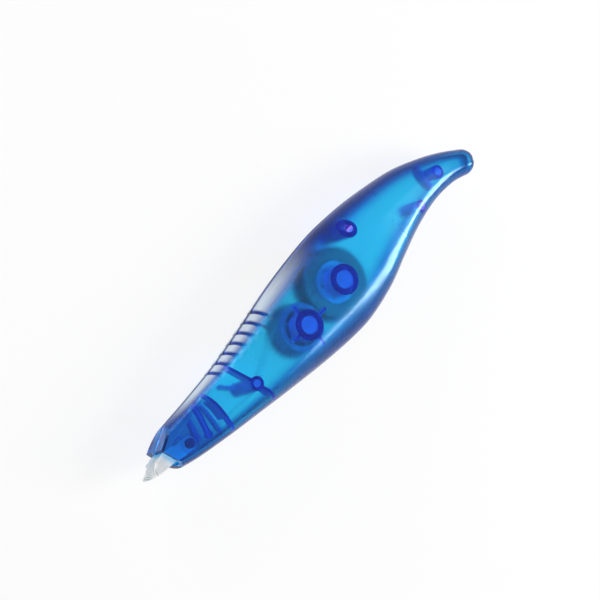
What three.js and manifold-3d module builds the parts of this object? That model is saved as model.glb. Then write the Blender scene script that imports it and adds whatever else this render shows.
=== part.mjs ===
// Pen-style correction tape in a translucent snap-together case.
// Millimetres. The pen lies on its back shell: +Z is its thickness, +X runs from tip to tail,
// and +Y points to the ribbed back edge. The plane z = 0 is the parting plane while it is built.

import * as THREE from 'three';
import { mergeVertices } from 'three/addons/utils/BufferGeometryUtils.js';
import Module from 'manifold-3d';

const wasm = await Module();
wasm.setup();

// Clearances
const seatGap = 0.3;
const partingGap = 0.2;
const filmGap = 0.2;
const guardGap = 0.15;
const ribGap = 0.4;

// Case: the two rails are the edges of the parting plane, paired across the body
const upperRailPoints = [
  [2, 5.4], [13, 6.8], [26, 7.55], [40, 8.7], [54, 10.8], [68, 13.25], [80, 14.65],
  [91, 15.3], [103, 14.65], [114, 13.1], [124, 11.0], [133, 7.6], [139.2, 4.5],
];
const lowerRailPoints = [
  [2, -1.7], [13, -5.6], [26, -8.1], [40, -10.1], [54, -12.05], [68, -13.75], [80, -14.6],
  [88, -14.3], [98, -12.25], [107, -9.15], [117, -6.05], [127, -4.15], [135.2, -4.2],
];
const tailCentre = new THREE.Vector2(142.1, -1.9);
const tailRadius = 3.9;
const tailAngle = THREE.MathUtils.degToRad(-27);
const noseHalfThickness = 4.6;
const bellyHalfThickness = 9.0;
const tailHalfThickness = 4.6;
const noseTaper = { from: 8, to: 64 };
const tailTaper = { from: 98, to: 142 };
const caseWall = 1.2;
const noseRounding = 0.42;
const bellyRounding = 0.7;
const bellyRoundingSpan = { from: 36, to: 76 };
const tailRounding = 0.8;
const tailRoundingSpan = { from: 100, to: 138 };
const leastInnerRounding = 0.35;
const outerGrid = { spacing: 3.6, cornerSteps: 6, grooved: true };
const innerGrid = { spacing: 5.2, cornerSteps: 4, grooved: false };
const tailEndSteps = 4;

// Open mouth of the nose, and the flat facet above it
const mouthTop = new THREE.Vector2(7.7, 3.6);
const mouthLow = new THREE.Vector2(10.8, -4.8);
const facetTop = new THREE.Vector2(14.6, 6.7);

// Grip grooves across the back edge
const gripGrooves = { first: 36.6, pitch: 3.8, count: 7, halfWidth: 0.85, depth: 0.55 };
const grooveFullAngle = 45;
const grooveEndAngle = 75;

// Tape and reels
const tapeWidth = 5;
const filmThickness = 0.12;
const toothModule = 0.5;
const supplyTeeth = 42;
const takeUpTeeth = 30;
const gearFaceWidth = 1.0;
const gearBacklash = 0.16;
const pressureAngle = THREE.MathUtils.degToRad(20);
const supplyAxis = new THREE.Vector2(85, 0.6);
const reelLineAngle = THREE.MathUtils.degToRad(186);
const axleRadius = 2.3;
const hubWall = 1.1;
const clutchSection = 0.8;
const supplyCoreWall = 1.1;
const tapeRollRadius = 10.0;
const flangeLip = 0.3;
const flangeThickness = 0.5;
const webThickness = 0.8;
const keyHole = { radius: 0.45, count: 6 };
const gearWindow = { radius: 1.6, count: 6 };
const takeUpCoreRadius = 6.2;
const takeUpCoreWall = 1.0;
const linerRollThickness = 0.4;
const spoke = { width: 0.9, count: 6 };

// Bosses that carry the reels
const bearingRingWall = 1.9;
const thrustCollarWall = 1.1;
const axleEntry = 2.4;
const axleBoreRadius = 1.3;
const gusset = { reach: 7.0, width: 0.8, depth: 1.3, count: 4 };
const gussetPip = { radius: 0.55, depth: 1.9 };

// Closing posts of the back shell and the sockets of the front shell
const nosePost = { x: 43.2, y: -2.4, radius: 2.1 };
const bellyPost = { x: 96.8, y: 9.8, radius: 2.7 };
const tailPostLow = { x: 120.6, y: -1.2, radius: 1.75 };
const tailPostHigh = { x: 132.4, y: 1.9, radius: 1.9 };
const closingPosts = [nosePost, bellyPost, tailPostLow, tailPostHigh];
const postTop = 1.2;
const closingPinRadius = 0.85;
const closingPinLength = 2.2;

// Ribs on the inner faces of both shells, kept clear of the tape
const ribWidth = 0.9;
const noseRibWidth = 1.4;
const noseRib = [[25.2, 9.5], [24.1, 3], [22.5, -3.4]];
const noseRibBlock = { x: 22.5, y: -3.2, radius: 1.1 };
const curvedRib = [[26.9, 10], [29.6, 3.2], [29.9, -2.6], [28.8, -12]];
const strandDivider = { x: 29.7, y: 0.1, radius: 3.3 };
const postRib = [[37.8, 11], [43.2, -2.4], [46.9, -14]];
const postGusset = [[38.6, 2.2], [43.2, -2.4]];
const tailRib = [[131.2, 9.5], [130.1, 2.6], [130.6, -6.5]];

// Applicator tip
const tipEdge = new THREE.Vector2(0.95, -0.5);
const tipEdgeRadius = 0.25;
const tipEdgeArc = { from: 108, to: 261 };
const bladeRootTop = new THREE.Vector2(7.9, 1.6);
const tipEye = { x: 16.5, y: -1.2, radius: 2.1 };
const tipPinRadius = 1.15;
const tipBossRadius = 3.0;
const tipGuardThickness = 0.45;
const tipGuardOutline = [
  [2.5, -1.35], [2.9, 0.3], [4.5, 1.95], [8.0, 2.35], [11.4, 2.1], [13.6, 0.4],
  [13.6, -2.9], [9.6, -2.0], [6.1, -1.8],
];

// Worked out from the sizes above
const supplyPitchRadius = (toothModule * supplyTeeth) / 2;
const takeUpPitchRadius = (toothModule * takeUpTeeth) / 2;
const reelDistance = supplyPitchRadius + takeUpPitchRadius;
const takeUpAxis = new THREE.Vector2(Math.cos(reelLineAngle), Math.sin(reelLineAngle))
  .multiplyScalar(reelDistance).add(supplyAxis);
const boreRadius = axleRadius + seatGap;
const hubRadius = boreRadius + hubWall;
const clutchInner = hubRadius + seatGap;
const supplyCoreInner = clutchInner + clutchSection + seatGap;
const supplyCoreRadius = supplyCoreInner + supplyCoreWall;
const tapeRollInner = supplyCoreRadius + seatGap;
const supplyFlangeRadius = tapeRollRadius + flangeLip;
const linerRollInner = takeUpCoreRadius + seatGap;
const linerRollRadius = linerRollInner + linerRollThickness;
const takeUpFlangeRadius = linerRollRadius + flangeLip;
const tapeTop = tapeWidth / 2;
const flangeTop = tapeTop + seatGap + flangeThickness;
const lowerFlangeLow = -flangeTop;
const gearTop = lowerFlangeLow - seatGap;
const gearLow = gearTop - gearFaceWidth;
const bearingLow = flangeTop + seatGap;
const ribClear = tapeTop + ribGap;
const filmOffset = filmGap + filmThickness / 2;
const guardInner = tapeTop + guardGap;
const guardOuter = guardInner + tipGuardThickness;

// How far cutting and joining solids reach, and the sides of round pieces
const beyond = 40;
const fuse = 0.1;
const rootInBoss = 0.6;
const roundSides = 40;
const bearingSides = 32;
const smallSides = 20;
const holeSides = 16;
const rollSides = 60;

// Solids from geometry

function toSolid(geometry) {
  const bare = geometry.clone();
  bare.deleteAttribute('normal');
  bare.deleteAttribute('uv');
  const merged = mergeVertices(bare, 1e-5);
  return new wasm.Manifold(new wasm.Mesh({
    numProp: 3,
    vertProperties: new Float32Array(merged.getAttribute('position').array),
    triVerts: new Uint32Array(merged.getIndex().array),
  }));
}

function toGeometry(solid) {
  const { vertProperties, triVerts } = solid.getMesh();
  const geometry = new THREE.BufferGeometry();
  geometry.setAttribute('position', new THREE.BufferAttribute(new Float32Array(vertProperties), 3));
  geometry.setIndex(new THREE.BufferAttribute(new Uint32Array(triVerts), 1));
  geometry.computeVertexNormals();
  return geometry;
}

function joinAll(solids) {
  return solids.reduce((whole, piece) => whole.add(piece));
}

function prism(shape, low, high, curveSegments = roundSides / 4) {
  const settings = { depth: high - low, bevelEnabled: false, curveSegments };
  return toSolid(new THREE.ExtrudeGeometry(shape, settings).translate(0, 0, low));
}

function rod(x, y, radius, low, high, sides = smallSides) {
  const cylinder = new THREE.CylinderGeometry(radius, radius, high - low, sides);
  return toSolid(cylinder.rotateX(Math.PI / 2).translate(x, y, (low + high) / 2));
}

function ring(x, y, inner, outer, low, high, sides = roundSides) {
  const tube = rod(x, y, outer, low, high, sides);
  return tube.subtract(rod(x, y, inner, low - fuse, high + fuse, sides));
}

function polygon(points) {
  return new THREE.Shape(points.map(([x, y]) => new THREE.Vector2(x, y)));
}

// A band of even width along a line of 2D points, as tape, wire or ribs need it
function band(points, width) {
  const left = [];
  const right = [];
  points.forEach((point, i) => {
    const before = points[Math.max(i - 1, 0)];
    const after = points[Math.min(i + 1, points.length - 1)];
    const along = after.clone().sub(before).normalize();
    const side = new THREE.Vector2(-along.y, along.x).multiplyScalar(width / 2);
    left.push(point.clone().add(side));
    right.unshift(point.clone().sub(side));
  });
  return new THREE.Shape([...left, ...right]);
}

function curvedBand(controlPoints, width, steps) {
  const curve = new THREE.SplineCurve(controlPoints.map(([x, y]) => new THREE.Vector2(x, y)));
  return band(curve.getPoints(steps), width);
}

// Everything to the left of the line from a to b, moved sideways by shift
function leftOf(a, b, shift = 0) {
  const along = b.clone().sub(a).normalize();
  const side = new THREE.Vector2(-along.y, along.x);
  const corner = (distance, away) => a.clone().addScaledVector(along, distance)
    .addScaledVector(side, away + shift);
  const shape = new THREE.Shape([
    corner(-beyond, 0), corner(beyond, 0), corner(beyond, beyond), corner(-beyond, beyond),
  ]);
  return prism(shape, -beyond, beyond);
}

function slab(low, high) {
  const size = 400;
  return toSolid(new THREE.BoxGeometry(size, size, high - low).translate(0, 0, (low + high) / 2));
}

// Case body: a loft between the two rails

function easeBetween(value, span) {
  return THREE.MathUtils.smoothstep(value, span.from, span.to);
}

const tailDirection = new THREE.Vector2(Math.cos(tailAngle), Math.sin(tailAngle));
const tailSide = new THREE.Vector2(-tailDirection.y, tailDirection.x);

function rail(points, tailSign) {
  const end = tailCentre.clone().addScaledVector(tailSide, tailSign * tailRadius);
  return new THREE.SplineCurve([...points.map(([x, y]) => new THREE.Vector2(x, y)), end]);
}

const upperRail = rail(upperRailPoints, 1);
const lowerRail = rail(lowerRailPoints, -1);

function railParameter(x) {
  let low = 0;
  let high = 1;
  for (let step = 0; step < 40; step += 1) {
    const middle = (low + high) / 2;
    if (upperRail.getPoint(middle).x < x) low = middle;
    else high = middle;
  }
  return (low + high) / 2;
}

function halfThickness(x) {
  const toBelly = (bellyHalfThickness - noseHalfThickness) * easeBetween(x, noseTaper);
  const toTail = (bellyHalfThickness - tailHalfThickness) * easeBetween(x, tailTaper);
  return noseHalfThickness + toBelly - toTail;
}

function cornerShare(x) {
  const toBelly = (bellyRounding - noseRounding) * easeBetween(x, bellyRoundingSpan);
  const toTail = (tailRounding - bellyRounding) * easeBetween(x, tailRoundingSpan);
  return noseRounding + toBelly + toTail;
}

function grooveCentres() {
  return Array.from({ length: gripGrooves.count }, (_, i) => gripGrooves.first + i * gripGrooves.pitch);
}

function stationPlaces(grid) {
  const start = upperRailPoints[0][0];
  const end = tailCentre.x + tailSide.x * tailRadius;
  const gripFrom = gripGrooves.first - gripGrooves.pitch / 2;
  const gripTo = gripFrom + gripGrooves.count * gripGrooves.pitch;
  const count = Math.round((end - start) / grid.spacing);
  const even = Array.from({ length: count + 1 }, (_, i) => start + ((end - start) * i) / count);
  if (!grid.grooved) return even;
  const outside = even.filter((x) => x < gripFrom || x > gripTo);
  const inside = grooveCentres().flatMap((x) => [x - gripGrooves.halfWidth, x, x + gripGrooves.halfWidth]);
  return [...outside, ...inside].sort((a, b) => a - b);
}

function grooveDepthAt(x) {
  const nearest = Math.min(...grooveCentres().map((centre) => Math.abs(x - centre)));
  return gripGrooves.depth * Math.max(0, 1 - nearest / gripGrooves.halfWidth);
}

// One cross-section: a flat on each face and an elliptical rounding at each rail
function sectionLoop(section, inset, grid) {
  const halfWidth = section.halfWidth - inset;
  const half = section.half - inset;
  const corner = Math.max(section.corner - inset, leastInnerRounding * section.corner);
  const profile = [];
  for (let step = 0; step <= grid.cornerSteps; step += 1) {
    const angle = (step * 90) / grid.cornerSteps;
    const turn = THREE.MathUtils.degToRad(angle);
    const slope = new THREE.Vector2(Math.cos(turn) / corner, Math.sin(turn) / half).normalize();
    const fade = 1 - THREE.MathUtils.clamp(
      (angle - grooveFullAngle) / (grooveEndAngle - grooveFullAngle), 0, 1);
    const across = halfWidth - corner + corner * Math.cos(turn);
    const up = half * Math.sin(turn);
    profile.push({ across, up, slope, fade });
  }
  const place = (across, z) => new THREE.Vector3(
    section.middle.x + section.toUpper.x * across, section.middle.y + section.toUpper.y * across, z);
  const depth = grid.grooved ? section.groove : 0;
  const upper = profile.map(({ across, up, slope, fade }) => [
    across - slope.x * fade * depth, up - slope.y * fade * depth]);
  const lower = profile.map(({ across, up }) => [-across, up]).reverse();
  const front = [...upper, ...lower];
  const back = front.slice(1, -1).reverse();
  return [
    ...front.map(([across, z]) => place(across, z)),
    ...back.map(([across, z]) => place(across, -z)),
  ];
}

function bodySections(inset, grid) {
  const sections = stationPlaces(grid).map((x) => {
    const t = railParameter(x);
    const upper = upperRail.getPoint(t);
    const lower = lowerRail.getPoint(t);
    const middle = upper.clone().add(lower).multiplyScalar(0.5);
    const halfWidth = upper.distanceTo(lower) / 2;
    return {
      middle,
      toUpper: upper.clone().sub(lower).normalize(),
      halfWidth,
      half: halfThickness(middle.x),
      corner: halfWidth * cornerShare(middle.x),
      groove: grooveDepthAt(x),
    };
  });
  const last = sections[sections.length - 1];
  for (let step = 1; step < tailEndSteps; step += 1) {
    const turn = (step * Math.PI) / 2 / tailEndSteps;
    const shrink = (size) => inset + (size - inset) * Math.cos(turn);
    sections.push({
      middle: tailCentre.clone().addScaledVector(tailDirection, (tailRadius - inset) * Math.sin(turn)),
      toUpper: tailSide,
      halfWidth: shrink(tailRadius),
      half: shrink(last.half),
      corner: inset + (last.corner - inset) * Math.cos(turn),
      groove: 0,
    });
  }
  return sections;
}

function bodyLoft(inset, grid) {
  const loops = bodySections(inset, grid).map((section) => sectionLoop(section, inset, grid));
  const size = loops[0].length;
  const apex = tailCentre.clone().addScaledVector(tailDirection, tailRadius - inset);
  const points = [...loops.flat(), new THREE.Vector3(apex.x, apex.y, 0)];
  const faces = [];
  for (let side = 1; side < size - 1; side += 1) faces.push(0, side + 1, side);
  for (let i = 0; i < loops.length - 1; i += 1) {
    for (let side = 0; side < size; side += 1) {
      const next = (side + 1) % size;
      const a = i * size + side;
      const b = i * size + next;
      faces.push(a, b, b + size, a, b + size, a + size);
    }
  }
  const lastLoop = (loops.length - 1) * size;
  for (let side = 0; side < size; side += 1) {
    faces.push(lastLoop + side, lastLoop + ((side + 1) % size), points.length - 1);
  }
  const geometry = new THREE.BufferGeometry().setFromPoints(points);
  geometry.setIndex(faces);
  return toSolid(geometry);
}

// The body with its mouth and facet cut, shrunk by inset
function noseCutBody(inset, grid) {
  return bodyLoft(inset, grid)
    .subtract(leftOf(mouthLow, mouthTop, inset > 0 ? 2 * caseWall : 0))
    .subtract(leftOf(mouthTop, facetTop, -inset));
}

const outerBody = noseCutBody(0, outerGrid);
const cavity = noseCutBody(caseWall, innerGrid);
const featureLimit = noseCutBody(caseWall / 2, innerGrid).subtract(leftOf(mouthLow, mouthTop));
const hollowCase = outerBody.subtract(cavity);
const frontSide = slab(partingGap / 2, beyond);
const backSide = slab(-beyond, -partingGap / 2);

// Features shared by both shells

function innerHalf(x) {
  return halfThickness(x) - caseWall;
}

function crossRibs(low, high) {
  return [
    prism(curvedBand(noseRib, noseRibWidth, 6), low, high),
    prism(curvedBand(curvedRib, ribWidth, 10), low, high),
    rod(noseRibBlock.x, noseRibBlock.y, noseRibBlock.radius, low, high),
  ];
}

function frontFeatures() {
  const bearings = [supplyAxis, takeUpAxis].map(({ x, y }) => (
    rod(x, y, boreRadius + bearingRingWall, bearingLow, beyond, bearingSides)));
  const gussets = Array.from({ length: gusset.count }, (_, i) => {
    const turn = (i * 2 * Math.PI) / gusset.count;
    const end = new THREE.Vector2(Math.cos(turn), Math.sin(turn)).multiplyScalar(gusset.reach);
    const line = [takeUpAxis, takeUpAxis.clone().add(end)];
    return prism(band(line, gusset.width), innerHalf(takeUpAxis.x) - gusset.depth, beyond);
  });
  const pipLow = innerHalf(takeUpAxis.x) - gussetPip.depth;
  const pip = rod(takeUpAxis.x + gusset.reach, takeUpAxis.y, gussetPip.radius, pipLow, beyond);
  const sockets = closingPosts.map(({ x, y, radius }) => (
    rod(x, y, radius, postTop + seatGap, beyond)));
  const tipBoss = rod(tipEye.x, tipEye.y, tipBossRadius, guardOuter + seatGap, beyond, bearingSides);
  const divider = prism(curvedBand(curvedRib, ribWidth, 10), partingGap / 2, beyond)
    .intersect(rod(strandDivider.x, strandDivider.y, strandDivider.radius, 0, beyond));
  return joinAll([
    ...bearings,
    ...gussets,
    pip,
    ...sockets,
    tipBoss,
    ...crossRibs(ribClear, beyond),
    prism(curvedBand(postRib, ribWidth, 2), ribClear, beyond),
    divider,
  ]);
}

function frontHoles() {
  const bores = [supplyAxis, takeUpAxis].map(({ x, y }) => (
    rod(x, y, boreRadius, 0, innerHalf(x), bearingSides)));
  const pinBores = closingPosts.map(({ x, y }) => (
    rod(x, y, closingPinRadius + seatGap, 0, postTop + closingPinLength + 2 * seatGap)));
  const tipBore = rod(tipEye.x, tipEye.y, tipPinRadius + seatGap, 0, innerHalf(tipEye.x));
  return joinAll([...bores, ...pinBores, tipBore]);
}

function frontShell() {
  const half = hollowCase.intersect(frontSide);
  return half.add(frontFeatures().intersect(featureLimit)).subtract(frontHoles());
}

function backFeatures() {
  const collars = [supplyAxis, takeUpAxis].map(({ x, y }) => (
    rod(x, y, axleRadius + thrustCollarWall, -beyond, gearLow - seatGap, bearingSides)));
  const posts = closingPosts.map(({ x, y, radius }) => rod(x, y, radius, -beyond, postTop));
  const tipBoss = rod(tipEye.x, tipEye.y, tipBossRadius, -beyond, -guardOuter - seatGap, bearingSides);
  return joinAll([
    ...collars,
    ...posts,
    tipBoss,
    ...crossRibs(-beyond, -ribClear),
    prism(curvedBand(postGusset, ribWidth, 2), -beyond, -ribClear),
    prism(curvedBand(tailRib, ribWidth, 8), -beyond, -partingGap / 2),
  ]);
}

// Axles and pins stand higher than the parting plane, into the front shell
function backPins() {
  const axles = [supplyAxis, takeUpAxis].map(({ x, y }) => (
    rod(x, y, axleRadius, gearLow - seatGap - rootInBoss, bearingLow + axleEntry, bearingSides)));
  const pins = closingPosts.map(({ x, y }) => (
    rod(x, y, closingPinRadius, postTop - rootInBoss, postTop + closingPinLength)));
  const tipPinLow = -guardOuter - seatGap - rootInBoss;
  const tipPin = rod(tipEye.x, tipEye.y, tipPinRadius, tipPinLow, innerHalf(tipEye.x) - seatGap);
  return [...axles, ...pins, tipPin];
}

// The axles are sleeves, open at the end that stands in the bearing ring
function axleBores() {
  return joinAll([supplyAxis, takeUpAxis].map(({ x, y }) => (
    rod(x, y, axleBoreRadius, gearLow, beyond, holeSides))));
}

function backShell() {
  const half = hollowCase.intersect(backSide);
  const raised = backFeatures().intersect(featureLimit);
  return joinAll([half, raised, ...backPins()]).subtract(axleBores());
}

// Applicator tip: a wedge blade between two side guards, on a shank with an eye

function applicatorTip() {
  const blade = new THREE.Shape();
  blade.absarc(
    tipEdge.x, tipEdge.y, tipEdgeRadius,
    THREE.MathUtils.degToRad(tipEdgeArc.from), THREE.MathUtils.degToRad(tipEdgeArc.to), false);
  blade.lineTo(tipEye.x, tipEye.y - tipEye.radius);
  blade.lineTo(tipEye.x, tipEye.y + tipEye.radius);
  blade.lineTo(bladeRootTop.x, bladeRootTop.y);
  const half = guardInner;
  const body = prism(blade, -half, half, 4);
  const eye = rod(tipEye.x, tipEye.y, tipEye.radius, -half, half, bearingSides);
  const guards = [[guardInner - fuse, guardOuter], [-guardOuter, fuse - guardInner]]
    .map(([low, high]) => prism(polygon(tipGuardOutline), low, high));
  const bore = rod(tipEye.x, tipEye.y, tipPinRadius + seatGap, -beyond, beyond);
  return joinAll([body, eye, ...guards]).subtract(bore);
}

// Gears: each flank is a chord of its involute, thinned for backlash

function gearShape(teeth) {
  const pitchRadius = (toothModule * teeth) / 2;
  const baseRadius = pitchRadius * Math.cos(pressureAngle);
  const rootRadius = pitchRadius - 1.25 * toothModule;
  const tipRadius = pitchRadius + toothModule;
  const involute = (angle) => Math.tan(angle) - angle;
  const halfAngle = (radius) => {
    const pressure = Math.acos(Math.min(1, baseRadius / radius));
    return Math.PI / (2 * teeth) - gearBacklash / (2 * pitchRadius)
      + involute(pressureAngle) - involute(pressure);
  };
  const radii = [rootRadius, tipRadius];
  const points = [];
  for (let tooth = 0; tooth < teeth; tooth += 1) {
    const middle = (tooth * 2 * Math.PI) / teeth;
    const at = (radius, sign) => {
      const angle = middle + sign * halfAngle(radius);
      points.push(new THREE.Vector2(radius * Math.cos(angle), radius * Math.sin(angle)));
    };
    radii.forEach((radius) => at(radius, -1));
    [...radii].reverse().forEach((radius) => at(radius, 1));
  }
  return new THREE.Shape(points);
}

function holeRing(distance, radius, count, low, high) {
  return joinAll(Array.from({ length: count }, (_, i) => {
    const turn = ((i + 0.5) * 2 * Math.PI) / count;
    return rod(distance * Math.cos(turn), distance * Math.sin(turn), radius, low, high, holeSides);
  }));
}

// The tooth of the driver points at the follower, which has a tooth space there
function supplyGear() {
  const plate = prism(gearShape(supplyTeeth), gearLow, gearTop);
  const hub = rod(0, 0, hubRadius, gearLow, tapeTop + seatGap, bearingSides);
  const windowDistance = (hubRadius + supplyPitchRadius) / 2;
  return plate.add(hub)
    .subtract(rod(0, 0, boreRadius, -beyond, beyond, bearingSides))
    .subtract(holeRing(windowDistance, gearWindow.radius, gearWindow.count, -beyond, gearTop + fuse));
}

function clutchRing() {
  const tubeRadius = clutchSection / 2;
  return toSolid(new THREE.TorusGeometry(clutchInner + tubeRadius, tubeRadius, 8, 32));
}

function supplyCore() {
  const tube = ring(0, 0, supplyCoreInner, supplyCoreRadius, lowerFlangeLow, tapeTop);
  const flange = ring(0, 0, supplyCoreInner, supplyFlangeRadius, lowerFlangeLow,
    lowerFlangeLow + flangeThickness);
  const web = ring(0, 0, hubRadius + seatGap, supplyCoreRadius, tapeTop - webThickness, tapeTop);
  const keys = holeRing(supplyCoreInner - keyHole.radius, keyHole.radius, keyHole.count, 0, beyond);
  return joinAll([tube, flange, web]).subtract(keys);
}

function takeUpSpool() {
  const plate = prism(gearShape(takeUpTeeth), gearLow, gearTop);
  const halfTooth = 180 / takeUpTeeth;
  const gear = plate.rotate([0, 0, halfTooth]);
  const wall = ring(0, 0, takeUpCoreRadius - takeUpCoreWall, takeUpCoreRadius, gearLow, flangeTop);
  const flange = ring(0, 0, takeUpCoreRadius - takeUpCoreWall, takeUpFlangeRadius,
    flangeTop - flangeThickness, flangeTop);
  const hub = rod(0, 0, hubRadius, gearLow, flangeTop, bearingSides);
  const arms = Array.from({ length: spoke.count }, (_, i) => {
    const turn = (i * 2 * Math.PI) / spoke.count;
    const end = new THREE.Vector2(Math.cos(turn), Math.sin(turn))
      .multiplyScalar(takeUpCoreRadius - takeUpCoreWall / 2);
    return prism(band([new THREE.Vector2(), end], spoke.width), gearLow, flangeTop - flangeThickness);
  });
  return joinAll([gear, wall, flange, hub, ...arms])
    .subtract(rod(0, 0, boreRadius, -beyond, beyond, bearingSides));
}

// Tape path: a belt line round circles, each on its left (turn 1) or right (turn -1)

function beltLine(wraps) {
  const headings = wraps.slice(1).map((wrap, i) => {
    const from = wraps[i];
    const way = wrap.centre.clone().sub(from.centre);
    const swing = (wrap.turn * wrap.radius - from.turn * from.radius) / way.length();
    return way.angle() - Math.asin(swing);
  });
  const touch = ({ centre, radius, turn }, heading) => new THREE.Vector2(
    centre.x + turn * radius * Math.sin(heading), centre.y - turn * radius * Math.cos(heading));
  const lines = [];
  wraps.forEach((wrap, i) => {
    const arrive = headings[Math.max(i - 1, 0)];
    const leave = headings[Math.min(i, headings.length - 1)];
    const swing = Math.atan2(Math.sin(leave - arrive), Math.cos(leave - arrive));
    const steps = Math.max(1, Math.ceil(Math.abs(swing) / THREE.MathUtils.degToRad(20)));
    const points = [];
    for (let step = 0; step <= (swing === 0 ? 0 : steps); step += 1) {
      points.push(touch(wrap, arrive + (swing * step) / steps));
    }
    lines.push(points);
  });
  return lines;
}

function filmWraps() {
  const at = (point, radius, turn = 1) => ({ centre: new THREE.Vector2(point.x, point.y), radius, turn });
  return [
    at(supplyAxis, tapeRollRadius + seatGap + filmThickness / 2),
    at(bladeRootTop, filmOffset),
    at(tipEdge, tipEdgeRadius + filmOffset),
    at(tipEye, tipEye.radius + filmOffset),
    at(nosePost, nosePost.radius + filmOffset),
    at(takeUpAxis, linerRollRadius + seatGap + filmThickness / 2, -1),
  ];
}

const tipWrapIndex = 2;

function film(points) {
  return prism(band(points, filmThickness), -tapeTop, tapeTop);
}

function tapeRun(lines) {
  const before = lines.slice(0, tipWrapIndex).flat();
  const [edge] = lines[tipWrapIndex];
  const back = before[before.length - 1].clone().sub(edge).setLength(seatGap);
  return film([...before, edge.clone().add(back)]);
}

function linerRun(lines) {
  return film(lines.slice(tipWrapIndex).flat());
}

// Materials

function plastic(color, roughness, opacity = 1) {
  return new THREE.MeshStandardMaterial({
    color, roughness, metalness: 0, transparent: opacity < 1, opacity,
  });
}

const caseBlue = plastic(0x1583d8, 0.12, 0.45);
const tipClear = plastic(0xe4e9ee, 0.2, 0.7);
const tapeWhite = plastic(0x7fa9b6, 0.6);
const coreBlue = plastic(0x2f86cf, 0.35);
const gearBlue = plastic(0x1f5fae, 0.4);
const spoolBlue = plastic(0x2a72c0, 0.4);
const flangeClear = plastic(0x6db4e6, 0.2, 0.5);
const clutchRubber = plastic(0x1c1d20, 0.8);
const coatedTape = plastic(0xf2f4f3, 0.55);
const bareLiner = plastic(0xd7dfd9, 0.35, 0.7);

// Assembly

function piece(name, solid, material, axis = null) {
  const mesh = new THREE.Mesh(toGeometry(solid), material);
  mesh.name = name;
  if (axis) mesh.position.set(axis.x, axis.y, 0);
  return mesh;
}

function turned(solid) {
  return solid.rotate([0, 0, THREE.MathUtils.radToDeg(reelLineAngle)]);
}

function buildPen() {
  const lines = beltLine(filmWraps());
  const tapeRoll = ring(0, 0, tapeRollInner, tapeRollRadius, -tapeTop, tapeTop, rollSides);
  const linerRoll = ring(0, 0, linerRollInner, linerRollRadius, -tapeTop, tapeTop);
  const inner = new THREE.Group();
  inner.add(
    piece('front_shell', frontShell(), caseBlue),
    piece('back_shell', backShell(), caseBlue),
    piece('applicator_tip', applicatorTip(), tipClear),
    piece('supply_gear', turned(supplyGear()), gearBlue, supplyAxis),
    piece('clutch_ring', clutchRing(), clutchRubber, supplyAxis),
    piece('supply_core', supplyCore(), coreBlue, supplyAxis),
    piece('tape_roll', tapeRoll, tapeWhite, supplyAxis),
    piece('supply_flange', ring(0, 0, hubRadius + 2 * seatGap, supplyFlangeRadius,
      flangeTop - flangeThickness, flangeTop), flangeClear, supplyAxis),
    piece('take_up_spool', turned(takeUpSpool().rotate([0, 0, 180])), spoolBlue, takeUpAxis),
    piece('liner_roll', linerRoll, bareLiner, takeUpAxis),
    piece('tape_run', tapeRun(lines), coatedTape),
    piece('liner_run', linerRun(lines), bareLiner),
  );
  const bounds = new THREE.Box3().setFromObject(inner);
  const centre = bounds.getCenter(new THREE.Vector3());
  inner.position.set(-centre.x, -centre.y, -bounds.min.z);
  const pen = new THREE.Group();
  pen.add(inner);
  return pen;
}

export default buildPen();
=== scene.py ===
"""Looks of a pen-style correction tape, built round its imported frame.

Shapes are worked out in millimetres in the pen's own frame: x runs from the tip's edge towards
the tail, y towards the ribbed back edge and z through the case, with the parting plane at z = 0.
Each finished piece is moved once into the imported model's frame, in metres.
"""

import logging
import math
from dataclasses import dataclass
from enum import Enum

import bmesh
import bpy
import numpy as np
from mathutils import Matrix, Vector


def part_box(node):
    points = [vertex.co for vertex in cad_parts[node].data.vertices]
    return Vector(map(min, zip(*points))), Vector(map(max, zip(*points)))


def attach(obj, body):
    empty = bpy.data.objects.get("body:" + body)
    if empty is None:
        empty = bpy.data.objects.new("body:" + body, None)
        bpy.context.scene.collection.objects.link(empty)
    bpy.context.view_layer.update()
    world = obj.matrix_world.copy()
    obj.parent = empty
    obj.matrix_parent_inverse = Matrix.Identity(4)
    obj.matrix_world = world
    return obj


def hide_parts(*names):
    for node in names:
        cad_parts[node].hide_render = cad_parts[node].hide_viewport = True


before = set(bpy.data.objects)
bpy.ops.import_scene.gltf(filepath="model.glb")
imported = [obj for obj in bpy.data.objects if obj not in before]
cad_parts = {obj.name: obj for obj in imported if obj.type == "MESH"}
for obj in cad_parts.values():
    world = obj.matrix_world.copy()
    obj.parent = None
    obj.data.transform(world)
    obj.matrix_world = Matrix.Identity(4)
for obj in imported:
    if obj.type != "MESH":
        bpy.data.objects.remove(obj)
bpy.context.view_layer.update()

log = logging.getLogger("pen")

MM = 0.001

# In millimetres: farther than any wall, and how far joined solids overlap
BEYOND = 40.0
FUSE = 0.1

# Bends under the first angle are shaded smooth, and those over the second are bevelled
SMOOTH_UNDER = math.radians(34)
BEVEL_OVER = math.radians(30)
BEVEL_SEGMENTS = 2

# Sides of small holes, of the clutch's tube and its way round, and of rings, spools and gears
HOLE_SIDES = 32
TUBE_SIDES = 24
CLUTCH_SIDES = 72
RING_SIDES = 64
SPOOL_SIDES = 112
GEAR_SIDES = 128

# Attributes that tell the case's finish the kind of surface, and where the grip gets its painted
# highlight and its dullness from rubbing
SKIN = "skin"
GRIP_HIGHLIGHT_AND_WEAR = "grip_highlight_and_wear"

# Textures that the moulded pieces share, in millimetres
SCRATCH_MM = 0.9
SCRATCH_STRETCH = (0.12, 1.0, 1.0)
RIPPLE_MM = 9.0
RIPPLE_DEPTH_MM = 0.012
GRAIN_MM = 0.35
GRAIN_DEPTH_MM = 0.0006

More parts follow.
